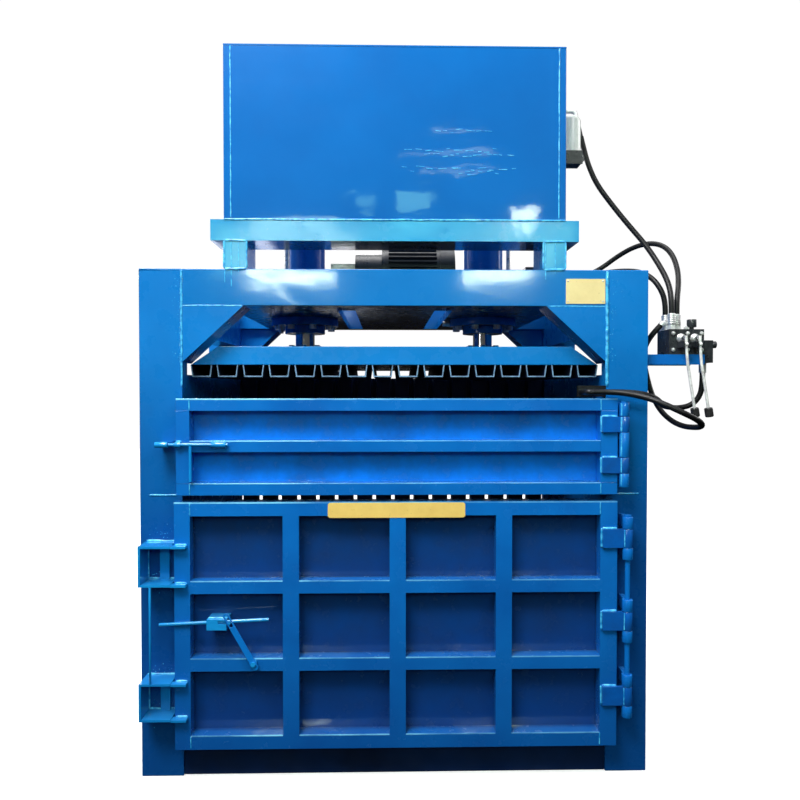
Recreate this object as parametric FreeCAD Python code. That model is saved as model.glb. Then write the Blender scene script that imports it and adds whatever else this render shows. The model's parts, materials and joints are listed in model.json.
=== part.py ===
"""Upright recycling baler with a channelled platen, two doors and a hydraulic unit on top.

Units are millimetres. +X is to the operator's right, +Y is to the back and +Z is up.
The origin is on the floor at the centre of the base.
"""
import FreeCAD
import Part
import math
import os

V = FreeCAD.Vector
AXES = {"x": V(1, 0, 0), "y": V(0, 1, 0), "z": V(0, 0, 1)}

# ---------------------------------------------------------------- driving dimensions
frame_width = 1800.0
frame_depth = 1000.0
frame_height = 1796.0
post_width = 148.0
post_depth = 58.0
beam_height = 129.0
frame_wall = 6.0
beam_wall = 8.0
running_gap = 0.05
seat_gap = 0.3

base_height = 120.0
base_rail_depth = 50.0
base_rail_setback = 10.0
side_rail_width = 80.0
bearer_width = 80.0
bearer_spacing = 500.0
floor_sheet = 8.0
floor_sheet_gap = 4.0

channel_count = 16
channel_width = 78.0
channel_foot = 66.0
channel_height = 44.0
channel_wall = 5.0

side_sheet = 6.0
wall_lap = 8.0
side_rib = 50.0
side_rib_wall = 4.0
side_rib_levels = (300.0, 650.0, 1000.0)
side_beam_height = 216.0
side_beam_width = 100.0
cross_bar_thickness = 20.0
cross_bar_height = 60.0
cross_bar_levels = (200.0, 600.0)
back_plate_bottom = 1240.0
back_plate_rise = 36.0
back_plate_notch = 190.0

gusset_run = 217.0
gusset_drop = 201.0
gusset_plate = 10.0
gusset_flange = 8.0
gusset_flange_depth = 110.0

deck_thickness = 30.0
deck_inner_reach = 163.0
centre_deck_half = 148.0
flange_bearer_gap = 5.0

cylinder_bore = 140.0
cylinder_wall = 14.0
rod_diameter = 80.0
press_stroke = 750.0
piston_length = 60.0
piston_spigot = 50.0
end_clearance = 8.0
head_space = 15.0
gland_spigot = 90.0
gland_collar = 30.0
cylinder_flange_rim = 56.0
cylinder_flange_thickness = 30.0
barrel_cap_thickness = 25.0
flange_bolt_inset = 24.0
flange_bolt_count = 8
flange_bolt_head = 30.0
flange_bolt_shank = 20.0
flange_bolt_head_height = 16.0
flange_bolt_end = 4.0
rod_flange_rim = 40.0
rod_flange_thickness = 20.0
rod_bolt_inset = 19.0
rod_bolt_count = 6
rod_bolt_radius = 12.0
rod_bolt_height = 10.0

platen_side_gap = 12.0
platen_slope = 100.0
platen_front_gap = 66.0
platen_back_gap = 6.0
platen_thickness = 67.0
platen_sheet = 10.0
platen_rest_gap = 79.0
rod_web_offset = 60.0

door_depth = 60.0
door_sheet = 4.0
door_gap = 2.0
door_wall = 4.0
door_right_lap = 19.0
upper_door_left_lap = 3.0
upper_door_height = 334.0
upper_door_rail = 42.0
upper_door_bar = 40.0
upper_door_bar_shift = 2.0
upper_door_left_stile = 46.0
upper_door_right_stile = 59.0
lower_door_left_lap = 11.0
lower_door_bottom = 126.0
lower_door_height = 858.0
between_doors = 23.0
lower_door_rail = 48.0
lower_door_bar = 44.5
lower_door_rows = 3
lower_door_columns = 4
lower_door_upright_width = 56.0
lower_door_upright_shift = 4.7
lower_door_left_stile = 54.0
lower_door_right_stile = 59.0

hinge_axis_reach = 4.0
upper_hinge_offset = 40.0
lower_hinge_offset = 54.0
upper_knuckle_radius = 17.0
lower_knuckle_radius = 18.0
upper_pin_radius = 10.0
lower_pin_radius = 9.0
knuckle_gap = 1.0
strap_thickness = 12.0
upper_strap_lap = 57.0
lower_strap_lap = 53.0
pin_collar = 6.0
pin_collar_rim = 4.0
upper_hinge_ends = (27.0, 15.0)
upper_strap_height = 54.0
upper_strap_insets = (75.0, 63.0)
lower_strap_height = 65.0
lower_knuckle_length = 42.0
lower_strap_insets = (146.0, 96.0)
lower_middle_strap_rise = 12.0

bolt_play = 0.3
bolt_travel = 26.0
bolt_rest_gap = 2.5
upper_bolt_rise = 7.0
upper_bolt_reach = 11.0
upper_bolt_radius = 6.0
bolt_sleeve_radius = 10.0
bolt_pad_half = 8.0
upper_sleeves = ((0.0, 20.0), (123.0, 173.0))
upper_bolt_tail = 180.0
upper_handle_offset = 52.0
upper_handle_drop = 126.0
upper_handle_radius = 5.2
upper_keeper_gap = 24.0
upper_keeper_length = 43.0

lower_bolt_rise = 438.0
lower_bolt_reach = 6.5
lower_bolt_end = 50.0
lower_bolt_tail = 325.0
lower_bolt_radius = 6.0
lower_bolt_tilt = 2.44
lower_bolt_travel = 36.0
lower_guide_span = (114.0, 182.0)
lower_guide_height = (-17.0, 19.0)
lower_guide_lip = 0.5
lower_pin_offset = 194.0
lower_pin_radius_bolt = 4.0
lower_pin_slot_play = 1.0
lever_pivot_offset = 274.0
lever_pivot_drop = 132.0
lever_length = 198.0
lever_tail = 24.0
lever_width = 20.0
lever_thickness = 6.0
lever_standoff = 18.0
lever_slot = (152.0, 187.0)
lever_slot_width = 11.6
lever_stud_radius = 6.0
lever_stud_head = 6.0
lever_boss_rim = 2.0
lever_pin_end = 3.0

latch_rises = (108.0, 231.0, 571.0, 703.0)
latch_plate = 8.0
latch_reach = 22.0
latch_outer = 128.0
latch_inner = 20.0
latch_door_outer = 18.0
latch_door_inner = 34.0
latch_door_reach = 4.0
latch_strip = (76.0, 43.0)
latch_strip_thickness = 12.0
keeper_bar_offset = 89.0
keeper_bar_radius = 4.0

tank_half_width = 603.0
tank_depth = 160.0
tank_height = 611.0
tank_wall = 5.0
tank_lid_thickness = 6.0
ledge_overhang = 47.0
ledge_height = 74.0
tank_leg_height = 99.0
tank_leg_width = 80.0
filler_x = -300.0
filler_inset = 36.0
filler_radius = 26.0
filler_bore = 20.0
filler_height = 14.0
cap_radius = 31.0
cap_height = 20.0
cap_notch = 4.0
cap_notch_offset = 1.5
cap_notches = 12
cap_spigot = 12.0

filter_offset = 65.0
filter_setback = 54.0
filter_rise = 295.0
filter_radius = 46.0
filter_height = 154.0
filter_head_height = 26.0
filter_head_half = 47.7
filter_collar = 10.0
filter_bracket = 6.0
filter_bracket_lap = 100.0
filter_bracket_margin = (40.0, 14.0)

motor_axis_y = -200.0
motor_rise = 112.0
motor_left = -38.0
motor_radius = 110.0
motor_core_radius = 99.0
motor_bore_radius = 88.0
motor_body_length = 185.0
motor_fin_count = 32
motor_fin_half = 0.14
motor_gap_half = 0.30
motor_foot = (52.0, 104.0)
motor_foot_inset = 20.0
motor_foot_drop = 40.0
motor_plate_thickness = 12.0
motor_plate_x = (-260.0, 296.0)
motor_plate_y = (-135.0, 108.0)
shield_thickness = 14.0
shield_inset = 4.0
cowl_length = 56.0
cowl_wall = 3.0
cowl_slots = 16
cowl_slot = (30.0, 92.0)
cowl_slot_half = 4.0
terminal_start = 68.0
terminal_length = 100.0
terminal_half = 45.0
terminal_height = 44.0
terminal_lid = 8.0
terminal_lid_lap = 4.0
terminal_gland = (18.0, 14.0)
rotor_gap = 0.8
rotor_inset = 25.0
rotor_shaft_reach = 42.0
rotor_shaft_tail = 38.0
fan_gap = 6.0
fan_width = 28.0
fan_hub = 30.0
fan_blades = 8
fan_blade_half = 2.0
shaft_radius = 14.0
bell_length = 115.0
bell_radius = 84.0
bell_wall = 10.0
bell_flange_radius = 104.0
bell_flange = 12.0
bell_window = (35.0, 25.0, 30.0, 40.0)
coupling_hub = 34.0
coupling_hub_length = 34.0
coupling_gap = 12.0
cushion_radius = 32.0
cushion_bore = 12.0
pump_hub_start = 18.0
pump_half_width = 44.0
pump_top_inset = 4.0
pump_cover = 20.0
pump_body_length = 56.0
pump_bore_floor = 4.0
gear_module = 4.0
gear_teeth = 8
gear_addendum = 3.0
gear_dedendum = 5.0
gear_length = 55.6
gear_shaft_radius = 9.0
gear_shaft_end = 6.0

valve_shelf_start = 40.0
valve_shelf_depth = 120.0
valve_offset = 94.0
valve_width = 128.0
valve_inset = 6.0
valve_height = 92.0
shelf_top = 1499.0
shelf_height = 37.0
shelf_wall = 5.0
outlet_length = 42.0
outlet_inset = 24.0
outlet_drop = 29.0
outlet_rise = 53.0
relief_length = 26.0
relief_radius = 13.0
relief_drop = 14.0
relief_knob_offset = 22.0
relief_stem = (12.0, 8.0)
relief_knob_size = (28.0, 17.0)
hand_lever_reach = 40.0
hand_lever_rise = 34.0
hand_lever_radius = 5.0
hand_lever_offsets = (42.0, 92.0)
hand_lever_bend = V(6.0, 0.0, -70.0)
hand_lever_foot = V(31.0, 0.0, -226.0)
hand_lever_boss = 8.0
hand_lever_pin_radius = 3.0
lever_ear = (3.3, 5.0, 9.0, 10.0)
knob_radius = 14.5
knob_length = 34.0
knob_round = 5.0
spool_radius = 8.0
spool_arm = 25.0
spool_nose_gap = 7.6
spool_end_gap = 14.0
spool_back_wall = 26.0

hose_radius = 10.0
ferrule_radius = 13.0
nut_radius = 15.0
nut_height = 14.0
elbow_radius = 11.0
elbow_bend = 12.0
pipe_radius = 9.0
wide_pipe_radius = 11.0
pipe_bend = 40.0
return_stub = 62.0
return_stub_radius = 8.5
return_pipe_radius = 8.0
return_pipe_bend = 16.0
return_pipe_rise = 40.0
return_pipe_inset = 50.0
press_elbow_x = 1008.0
block_span = (-31.0, 37.0)
block_y = (-150.0, -30.0)
block_height = 72.0
bracket_length = 102.0
bracket_thickness = 12.0
bracket_setback = 10.0
bracket_rise = 5.0
bracket_height = 40.0
bracket_fittings = (87.0, 52.0)
port_drop = 40.0
port_length = 30.0
port_half = 14.0
riser_y = -60.0
left_riser = (57.0, -137.0)
gauge_port_offset = V(85.0, -105.0, 0.0)
gauge_port = (18.0, 12.0, 9.0)
side_port = (30.0, 11.0, 12.0, 14.0)
rating_plate_x = (148.0, 8.0)
rating_plate_z = (9.0, 97.0)
rating_plate_thickness = 2.0


# ---------------------------------------------------------------- derived places
half_width = frame_width / 2
front = -frame_depth / 2
back = frame_depth / 2
post_inner = half_width - post_width
front_inner = front + post_depth
back_inner = back - post_depth
beam_bottom = frame_height - beam_height
door_back = front - door_gap
door_front = door_back - door_depth
deck_top = beam_bottom + deck_thickness
barrel_radius = cylinder_bore / 2 + cylinder_wall
cylinder_flange_radius = barrel_radius + cylinder_flange_rim
flange_bolt_circle = 2 * (cylinder_flange_radius - flange_bolt_inset)
rod_flange_radius = rod_diameter / 2 + rod_flange_rim
rod_bolt_circle = 2 * (rod_flange_radius - rod_bolt_inset)
cylinder_centre = tank_half_width - tank_leg_width - flange_bearer_gap - cylinder_flange_radius
deck_inner_edge = cylinder_centre - deck_inner_reach
flange_bottom = beam_bottom - cylinder_flange_thickness
gland_bottom = flange_bottom - gland_collar
piston_bottom = flange_bottom + gland_spigot + press_stroke + end_clearance
piston_top = piston_bottom + piston_length
barrel_top = piston_top + head_space

platen_top = gland_bottom - platen_rest_gap
platen_base = platen_top - platen_thickness
channel_bottom = platen_base - channel_height
floor_sheet_top = base_height + floor_sheet
floor_top = floor_sheet_top + channel_height
wall_top = channel_bottom + wall_lap
back_channel_front = back - cross_bar_thickness - channel_height
floor_back = back_channel_front - floor_sheet_gap
platen_half_width = post_inner - platen_side_gap
platen_top_half_width = platen_half_width - platen_slope
platen_front = front + platen_front_gap
platen_back = back_channel_front - platen_back_gap
channel_pitch = (2 * platen_half_width - channel_width) / (channel_count - 1)

door_right = post_inner + door_right_lap
upper_door_left = -post_inner - upper_door_left_lap
lower_door_left = -post_inner - lower_door_left_lap
lower_door_top = lower_door_bottom + lower_door_height
upper_door_bottom = lower_door_top + between_doors
upper_door_top = upper_door_bottom + upper_door_height
upper_bar_z = (upper_door_bottom + upper_door_top) / 2 + upper_door_bar_shift
hinge_axis_y = door_front - hinge_axis_reach
upper_hinge_x = post_inner + upper_hinge_offset
lower_hinge_x = post_inner + lower_hinge_offset
upper_hinge_span = (upper_door_bottom + upper_hinge_ends[0], upper_door_top - upper_hinge_ends[1])
upper_low_strap = upper_door_bottom + upper_strap_insets[0]
upper_high_strap = upper_door_top - upper_strap_insets[1] - upper_strap_height
upper_hinge_straps = ((upper_low_strap, upper_low_strap + upper_strap_height),
                      (upper_high_strap, upper_high_strap + upper_strap_height))
lower_strap_bottoms = (lower_door_top - lower_strap_insets[1] - lower_strap_height,
                       (lower_door_bottom + lower_door_top - lower_strap_height) / 2 + lower_middle_strap_rise,
                       lower_door_bottom + lower_strap_insets[0])

upper_bolt_z = upper_bar_z + upper_bolt_rise
upper_bolt_axis_y = door_front - upper_bolt_reach
upper_keeper_right = upper_door_left - upper_keeper_gap
upper_bolt_left = upper_keeper_right + bolt_rest_gap
lower_bolt_z = lower_door_bottom + lower_bolt_rise
lower_bolt_left = V(lower_door_left - lower_bolt_end, door_front - lower_bolt_reach, lower_bolt_z)
lower_bolt_right_x = lower_door_left + lower_bolt_tail
lower_bolt_direction = V(math.cos(math.radians(lower_bolt_tilt)), 0, math.sin(math.radians(lower_bolt_tilt)))
lever_pin_x = lower_door_left + lower_pin_offset
lever_back = door_front - lever_standoff
lever_front = lever_back - lever_thickness
lever_pivot = V(lower_door_left + lever_pivot_offset, 0, lower_bolt_z - lever_pivot_drop)
latch_levels = tuple(lower_door_bottom + rise for rise in latch_rises)
latch_front = door_front - latch_reach

ledge_half_width = tank_half_width + ledge_overhang
ledge_bottom = frame_height + tank_leg_height
tank_bottom = ledge_bottom + ledge_height
tank_top = tank_bottom + tank_height
tank_back = front + tank_depth
deck_bearer_centre = tank_half_width - tank_leg_width / 2
filler_y = tank_back - filler_inset
filter_x = tank_half_width + filter_offset
filter_y = tank_back + filter_setback
filter_bottom = tank_bottom + filter_rise
motor_axis_z = deck_top + motor_plate_thickness + motor_rise
motor_right = motor_left + 2 * shield_thickness + motor_body_length
bell_left = motor_left - bell_length
pump_left = bell_left - 2 * pump_cover - pump_body_length
driven_axis_z = motor_axis_z - gear_module * gear_teeth

valve_front = front + valve_shelf_start
valve_back = valve_front + valve_shelf_depth
valve_middle = (valve_front + valve_back) / 2
valve_left = half_width + valve_offset
valve_right = valve_left + valve_width
valve_top = shelf_top + valve_height
outlet_right = valve_right + outlet_length
outlet_bottom = shelf_top - outlet_drop
outlet_top = shelf_top + outlet_rise
hand_lever_y = valve_front - hand_lever_reach
hand_lever_pivot_z = shelf_top + hand_lever_rise
hand_lever_tops = tuple(valve_left + offset for offset in hand_lever_offsets)
spool_height = hand_lever_pivot_z + spool_arm


# ---------------------------------------------------------------- shape helpers
def box(x0, x1, y0, y1, z0, z1):
    """Solid block between two corners."""
    return Part.makeBox(x1 - x0, y1 - y0, z1 - z0, V(x0, y0, z0))


def rod(start, axis, length, radius):
    """Solid cylinder from a start point along an axis letter or a vector."""
    return Part.makeCylinder(radius, length, V(*start), AXES.get(axis, axis) if isinstance(axis, str) else axis)


def ring(start, axis, length, outer, inner):
    """Round tube from a start point."""
    return rod(start, axis, length, outer).cut(rod(start, axis, length, inner))


def box_tube(axis, x0, x1, y0, y1, z0, z1, wall):
    """Rectangular hollow section whose open ends face along the axis."""
    inset = {"x": (0, wall, wall), "y": (wall, 0, wall), "z": (wall, wall, 0)}[axis]
    bore = box(x0 + inset[0], x1 - inset[0], y0 + inset[1], y1 - inset[1], z0 + inset[2], z1 - inset[2])
    return box(x0, x1, y0, y1, z0, z1).cut(bore)


def capped_tube_x(x0, x1, y0, y1, z0, z1, wall):
    """Hollow rail along X with a plate let into each end."""
    rail = box_tube("x", x0, x1, y0, y1, z0, z1, wall)
    ends = [(x0, x0 + wall), (x1 - wall, x1)]
    caps = [box(a, b, y0 + wall, y1 - wall, z0 + wall, z1 - wall) for a, b in ends]
    return [rail] + caps


def prism_y(points, y0, y1):
    """Outline of (x, z) points drawn out along Y."""
    outline = [V(x, y0, z) for x, z in points]
    return Part.Face(Part.makePolygon(outline + outline[:1])).extrude(V(0, y1 - y0, 0))


def prism_z(points, z0, z1):
    """Outline of (x, y) points drawn out along Z."""
    outline = [V(x, y, z0) for x, y in points]
    return Part.Face(Part.makePolygon(outline + outline[:1])).extrude(V(0, 0, z1 - z0))


def mirror_x(shape):
    """The same shape on the other side of the machine."""
    return shape.mirror(V(0, 0, 0), V(1, 0, 0))


def mirror_y(shape):
    """The same shape at the other end, front to back."""
    return shape.mirror(V(0, 0, 0), V(0, 1, 0))


def hexagon(start, axis, length, radius):
    """Hexagon head or nut, radius to its corners."""
    across = {"x": (V(0, 1, 0), V(0, 0, 1)), "y": (V(1, 0, 0), V(0, 0, 1)), "z": (V(1, 0, 0), V(0, 1, 0))}[axis]
    corners = []
    for step in range(6):
        angle = math.radians(60 * step)
        corners.append(V(*start) + across[0] * radius * math.cos(angle) + across[1] * radius * math.sin(angle))
    return Part.Face(Part.makePolygon(corners + corners[:1])).extrude(AXES[axis] * length)


def bolt_circle(centre_x, centre_y, circle, count):
    """Places of bolts on a circle about a vertical axis."""
    places = []
    for step in range(count):
        angle = math.radians(360 * (step + 0.5) / count)
        places.append((centre_x + circle / 2 * math.cos(angle), centre_y + circle / 2 * math.sin(angle)))
    return places


def rounded_path(points, name=None, fixed_radius=None):
    """Straight runs joined by tangent arcs, as large as the two runs allow."""
    points = [V(*p) for p in points]
    edges = []
    radii = []
    here = points[0]
    for before, corner, after in zip(points, points[1:], points[2:]):
        run_in = corner - before
        run_out = after - corner
        turn = run_in.getAngle(run_out)
        reach = 0.45 * min(run_in.Length, run_out.Length)
        if fixed_radius:
            reach = fixed_radius * math.tan(turn / 2)
        radii.append(reach / math.tan(turn / 2))
        enter = corner - V(run_in).normalize() * reach
        leave = corner + V(run_out).normalize() * reach
        bisector = ((enter + leave) * 0.5 - corner).normalize()
        sagitta = radii[-1] / math.cos(turn / 2) - radii[-1]
        edges.append(Part.LineSegment(here, enter).toShape())
        edges.append(Part.Arc(enter, corner + bisector * sagitta, leave).toShape())
        here = leave
    edges.append(Part.LineSegment(here, points[-1]).toShape())
    path = Part.Wire(edges)
    if name:
        radii_text = " ".join("%.0f" % r for r in radii)
        print("%s length %.0f mm, arc radii %s" % (name, path.Length, radii_text))
    return path


def round_tube(points, radius, name=None, fixed_radius=None):
    """Round hose or pipe along a route of points."""
    path = rounded_path(points, name, fixed_radius)
    start = V(*points[0])
    direction = V(*points[1]) - start
    profile = Part.Wire(Part.makeCircle(radius, start, direction))
    tube = path.makePipeShell([profile], True, False)
    expected = math.pi * radius ** 2 * path.Length
    if abs(tube.Volume - expected) > 0.01 * expected:
        raise ValueError("tube volume %.0f, expected %.0f" % (tube.Volume, expected))
    return tube


# ---------------------------------------------------------------- frame
def channel_centres():
    """Middle of each pressing channel across the machine."""
    first = -platen_half_width + channel_width / 2
    return [first + step * channel_pitch for step in range(channel_count)]


def flared_channel(centre, web_z, rim_z, y0, y1):
    """U channel along Y, narrower at its web than at its rim."""
    up = 1 if rim_z > web_z else -1
    foot = channel_foot / 2
    rim = channel_width / 2
    outside = [(centre - foot, web_z), (centre + foot, web_z), (centre + rim, rim_z), (centre - rim, rim_z)]
    floor_z = web_z + up * channel_wall
    slope = (rim - foot) / channel_height
    low = foot + slope * channel_wall - channel_wall
    high = rim - channel_wall
    inside = [(centre - low, floor_z), (centre + low, floor_z), (centre + high, rim_z), (centre - high, rim_z)]
    return prism_y(outside, y0, y1).cut(prism_y(inside, y0, y1))


def make_base_frame():
    """Hollow rails round the foot, three bearers and the floor sheet."""
    rail_front = front + base_rail_setback
    rail_inner = rail_front + base_rail_depth
    end_rail = box_tube("x", -post_inner, post_inner, rail_front, rail_inner, 0, base_height, frame_wall)
    side_rail = box_tube("y", post_inner, post_inner + side_rail_width, front_inner, back_inner,
                         0, base_height, frame_wall)
    pieces = [end_rail, mirror_y(end_rail), side_rail, mirror_x(side_rail)]
    for centre in (-bearer_spacing, 0, bearer_spacing):
        edges = (centre - bearer_width / 2, centre + bearer_width / 2)
        pieces.append(box_tube("y", edges[0], edges[1], rail_inner, -rail_inner, 0, base_height, frame_wall))
    pieces.append(box(-post_inner, post_inner, rail_front, floor_back, base_height, floor_sheet_top))
    return pieces


def make_floor_channels():
    """Channels on the floor with strap slots between them."""
    return [flared_channel(x, floor_top, floor_sheet_top, front + floor_sheet_gap, floor_back) for x in channel_centres()]


def make_corner_posts():
    """Four hollow posts with plates on top."""
    post = box_tube("z", post_inner, half_width, front, front_inner, 0, frame_height - frame_wall, frame_wall)
    cap = box(post_inner, half_width, front, front_inner, frame_height - frame_wall, frame_height)
    pieces = []
    for piece in (post, cap):
        pieces += [piece, mirror_x(piece), mirror_y(piece), mirror_x(mirror_y(piece))]
    return pieces


def make_top_beams():
    """Front and back beams between the posts, and beams along the sides."""
    cross = box_tube("x", -post_inner, post_inner, front, front_inner, beam_bottom, frame_height, beam_wall)
    side = box_tube("y", post_inner, post_inner + side_beam_width, front_inner, back_inner,
                    frame_height - side_beam_height, frame_height, frame_wall)
    return [cross, mirror_y(cross), side, mirror_x(side)]


def make_gussets():
    """Corner plates under the beams, each with a flange along its slope."""
    tip = post_inner - gusset_run
    low = beam_bottom - gusset_drop
    slope_length = math.hypot(gusset_run, gusset_drop)
    rise = gusset_flange * slope_length / gusset_run
    reach = gusset_flange * slope_length / gusset_drop
    plate = prism_y([(tip, beam_bottom), (post_inner, beam_bottom), (post_inner, low)], front, front + gusset_plate)
    flange_start = front + gusset_plate
    flange = prism_y([(tip, beam_bottom), (tip + reach, beam_bottom), (post_inner, low + rise), (post_inner, low)],
                     flange_start, flange_start + gusset_flange_depth)
    pieces = []
    for piece in (plate, flange):
        pieces += [piece, mirror_x(piece), mirror_y(piece), mirror_x(mirror_y(piece))]
    return pieces


def make_side_walls():
    """Sheets beside the pressing chamber and the ribs outside them."""
    sheet = box(post_inner, post_inner + side_sheet, front_inner, back_inner, base_height, wall_top)
    pieces = [sheet, mirror_x(sheet)]
    for level in side_rib_levels + (wall_top - side_rib,):
        rib_start = post_inner + side_sheet
        rib = box_tube("y", rib_start, rib_start + side_rib, front_inner, back_inner,
                       level, level + side_rib, side_rib_wall)
        pieces += [rib, mirror_x(rib)]
    return pieces


def upright_channel(centre):
    """Back wall channel standing on the back rail with its web inwards."""
    foot = channel_foot / 2
    rim = channel_width / 2
    web = back_channel_front
    end = web + channel_height
    slope = (rim - foot) / channel_height
    low = foot + slope * channel_wall - channel_wall
    high = rim - channel_wall
    outside = [(centre - foot, web), (centre + foot, web), (centre + rim, end), (centre - rim, end)]
    inside = [(centre - low, web + channel_wall), (centre + low, web + channel_wall),
              (centre + high, end), (centre - high, end)]
    return prism_z(outside, base_height, wall_top).cut(prism_z(inside, base_height, wall_top))


def make_back_wall():
    """Sixteen upright channels, the bars behind them and the plate along their tops."""
    pieces = [upright_channel(x) for x in channel_centres()]
    bar_front = back - cross_bar_thickness
    for level in cross_bar_levels:
        pieces.append(box(-post_inner, post_inner, bar_front, back, level, level + cross_bar_height))
    plate = box(-post_inner, post_inner, bar_front, back, back_plate_bottom, wall_top + back_plate_rise)
    notch = box(-back_plate_notch, back_plate_notch, bar_front, back, wall_top, wall_top + back_plate_rise)
    pieces.append(plate.cut(notch))
    return pieces


# ---------------------------------------------------------------- press
def at_both_cylinders(make):
    """A piece at the left cylinder and the same piece at the right one."""
    return [make(-cylinder_centre), make(cylinder_centre)]


def make_cylinder_decks():
    """Bearers between the beams and the thick plates that hold the cylinders."""
    edge = deck_bearer_centre - tank_leg_width / 2
    bearer = box_tube("y", edge, edge + tank_leg_width, front_inner, back_inner,
                      beam_bottom, frame_height, beam_wall)
    deck = box(deck_inner_edge, edge, front_inner, back_inner, beam_bottom, deck_top)
    deck = deck.cut(rod((cylinder_centre, 0, beam_bottom), "z", deck_thickness, barrel_radius))
    for x, y in bolt_circle(cylinder_centre, 0, flange_bolt_circle, flange_bolt_count):
        deck = deck.cut(rod((x, y, beam_bottom), "z", deck_thickness, flange_bolt_shank / 2))
    centre = box(-centre_deck_half, centre_deck_half, front_inner, back_inner, beam_bottom, deck_top)
    return [bearer, mirror_x(bearer), deck, mirror_x(deck), centre]


def make_cylinder_barrels():
    """Honed tubes that pass up through the decks."""
    return at_both_cylinders(lambda x: ring((x, 0, flange_bottom), "z", barrel_top - flange_bottom,
                                            barrel_radius, cylinder_bore / 2))


def make_cylinder_flanges():
    """Mounting flanges under the decks and the caps on the tubes' upper ends."""
    def flange(x):
        plate = ring((x, 0, flange_bottom), "z", cylinder_flange_thickness, cylinder_flange_radius, barrel_radius)
        for bx, by in bolt_circle(x, 0, flange_bolt_circle, flange_bolt_count):
            plate = plate.cut(rod((bx, by, flange_bottom), "z", cylinder_flange_thickness, flange_bolt_shank / 2))
        return plate
    caps = at_both_cylinders(lambda x: rod((x, 0, barrel_top), "z", barrel_cap_thickness, barrel_radius))
    return at_both_cylinders(flange) + caps


def make_rod_glands():
    """Bushes in the lower ends of the tubes that guide the rods."""
    def gland(x):
        spigot = rod((x, 0, flange_bottom), "z", gland_spigot, cylinder_bore / 2)
        collar = rod((x, 0, gland_bottom), "z", gland_collar, barrel_radius)
        bore = rod((x, 0, gland_bottom), "z", gland_collar + gland_spigot, rod_diameter / 2 + running_gap)
        return spigot.fuse(collar).cut(bore).removeSplitter()
    return at_both_cylinders(gland)


def make_flange_bolts():
    """Bolts from under each flange up through the deck, with nuts on top."""
    bolts = []
    for x in (-cylinder_centre, cylinder_centre):
        for bx, by in bolt_circle(x, 0, flange_bolt_circle, flange_bolt_count):
            shank_top = deck_top + flange_bolt_head_height + flange_bolt_end
            head = hexagon((bx, by, flange_bottom - flange_bolt_head_height), "z",
                           flange_bolt_head_height, flange_bolt_head / 2)
            shank = rod((bx, by, flange_bottom), "z", shank_top - flange_bottom, flange_bolt_shank / 2)
            nut = hexagon((bx, by, deck_top), "z", flange_bolt_head_height, flange_bolt_head / 2)
            bolts.append(head.fuse([shank, nut]))
    return bolts


def make_pistons():
    """Pistons near the top of their stroke."""
    radius = cylinder_bore / 2 - running_gap
    return at_both_cylinders(lambda x: ring((x, 0, piston_bottom), "z", piston_length, radius, piston_spigot / 2))


def make_piston_rods():
    """Chromed rods from the platen up to the pistons."""
    def one(x):
        shaft = rod((x, 0, platen_top), "z", piston_bottom - platen_top, rod_diameter / 2)
        return shaft.fuse(rod((x, 0, piston_bottom), "z", piston_length, piston_spigot / 2)).removeSplitter()
    return at_both_cylinders(one)


def make_rod_flanges():
    """Round feet of the rods with their bolt heads."""
    pieces = []
    for x in (-cylinder_centre, cylinder_centre):
        pieces.append(ring((x, 0, platen_top), "z", rod_flange_thickness, rod_flange_radius, rod_diameter / 2))
        for bx, by in bolt_circle(x, 0, rod_bolt_circle, rod_bolt_count):
            pieces.append(hexagon((bx, by, platen_top + rod_flange_thickness), "z", rod_bolt_height, rod_bolt_radius))
    return pieces


def platen_outline(inset):
    """End view of the platen: wide at the bottom, sloping in to the top."""
    rise = platen_thickness
    lean = math.hypot(platen_slope, rise) / rise
    reach = platen_slope / rise

    def edge(height):
        """Half width of the sloping end at a height above the platen's base."""
        return platen_half_width - reach * height - inset * lean
    low = edge(inset)
    high = edge(rise - inset)
    return [(-low, platen_base + inset), (low, platen_base + inset),
            (high, platen_top - inset), (-high, platen_top - inset)]


def make_platen_shell():
    """Welded hollow platen: shell, back plate and the webs under the rods."""
    shell = prism_y(platen_outline(0), platen_front, platen_back)
    shell = shell.cut(prism_y(platen_outline(platen_sheet), platen_front + platen_sheet, platen_back))
    plate = prism_y(platen_outline(platen_sheet), platen_back - platen_sheet, platen_back)
    pieces = [shell, plate]
    for x in (-cylinder_centre, cylinder_centre):
        for side in (-rod_web_offset, rod_web_offset):
            pieces.append(box(x + side - platen_sheet / 2, x + side + platen_sheet / 2,
                              platen_front + platen_sheet, platen_back - platen_sheet,
                              platen_base + platen_sheet, platen_top - platen_sheet))
    return pieces


def make_platen_channels():
    """Pressing channels under the platen with strap slots between them."""
    return [flared_channel(x, channel_bottom, platen_base, platen_front, platen_back) for x in channel_centres()]


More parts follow.
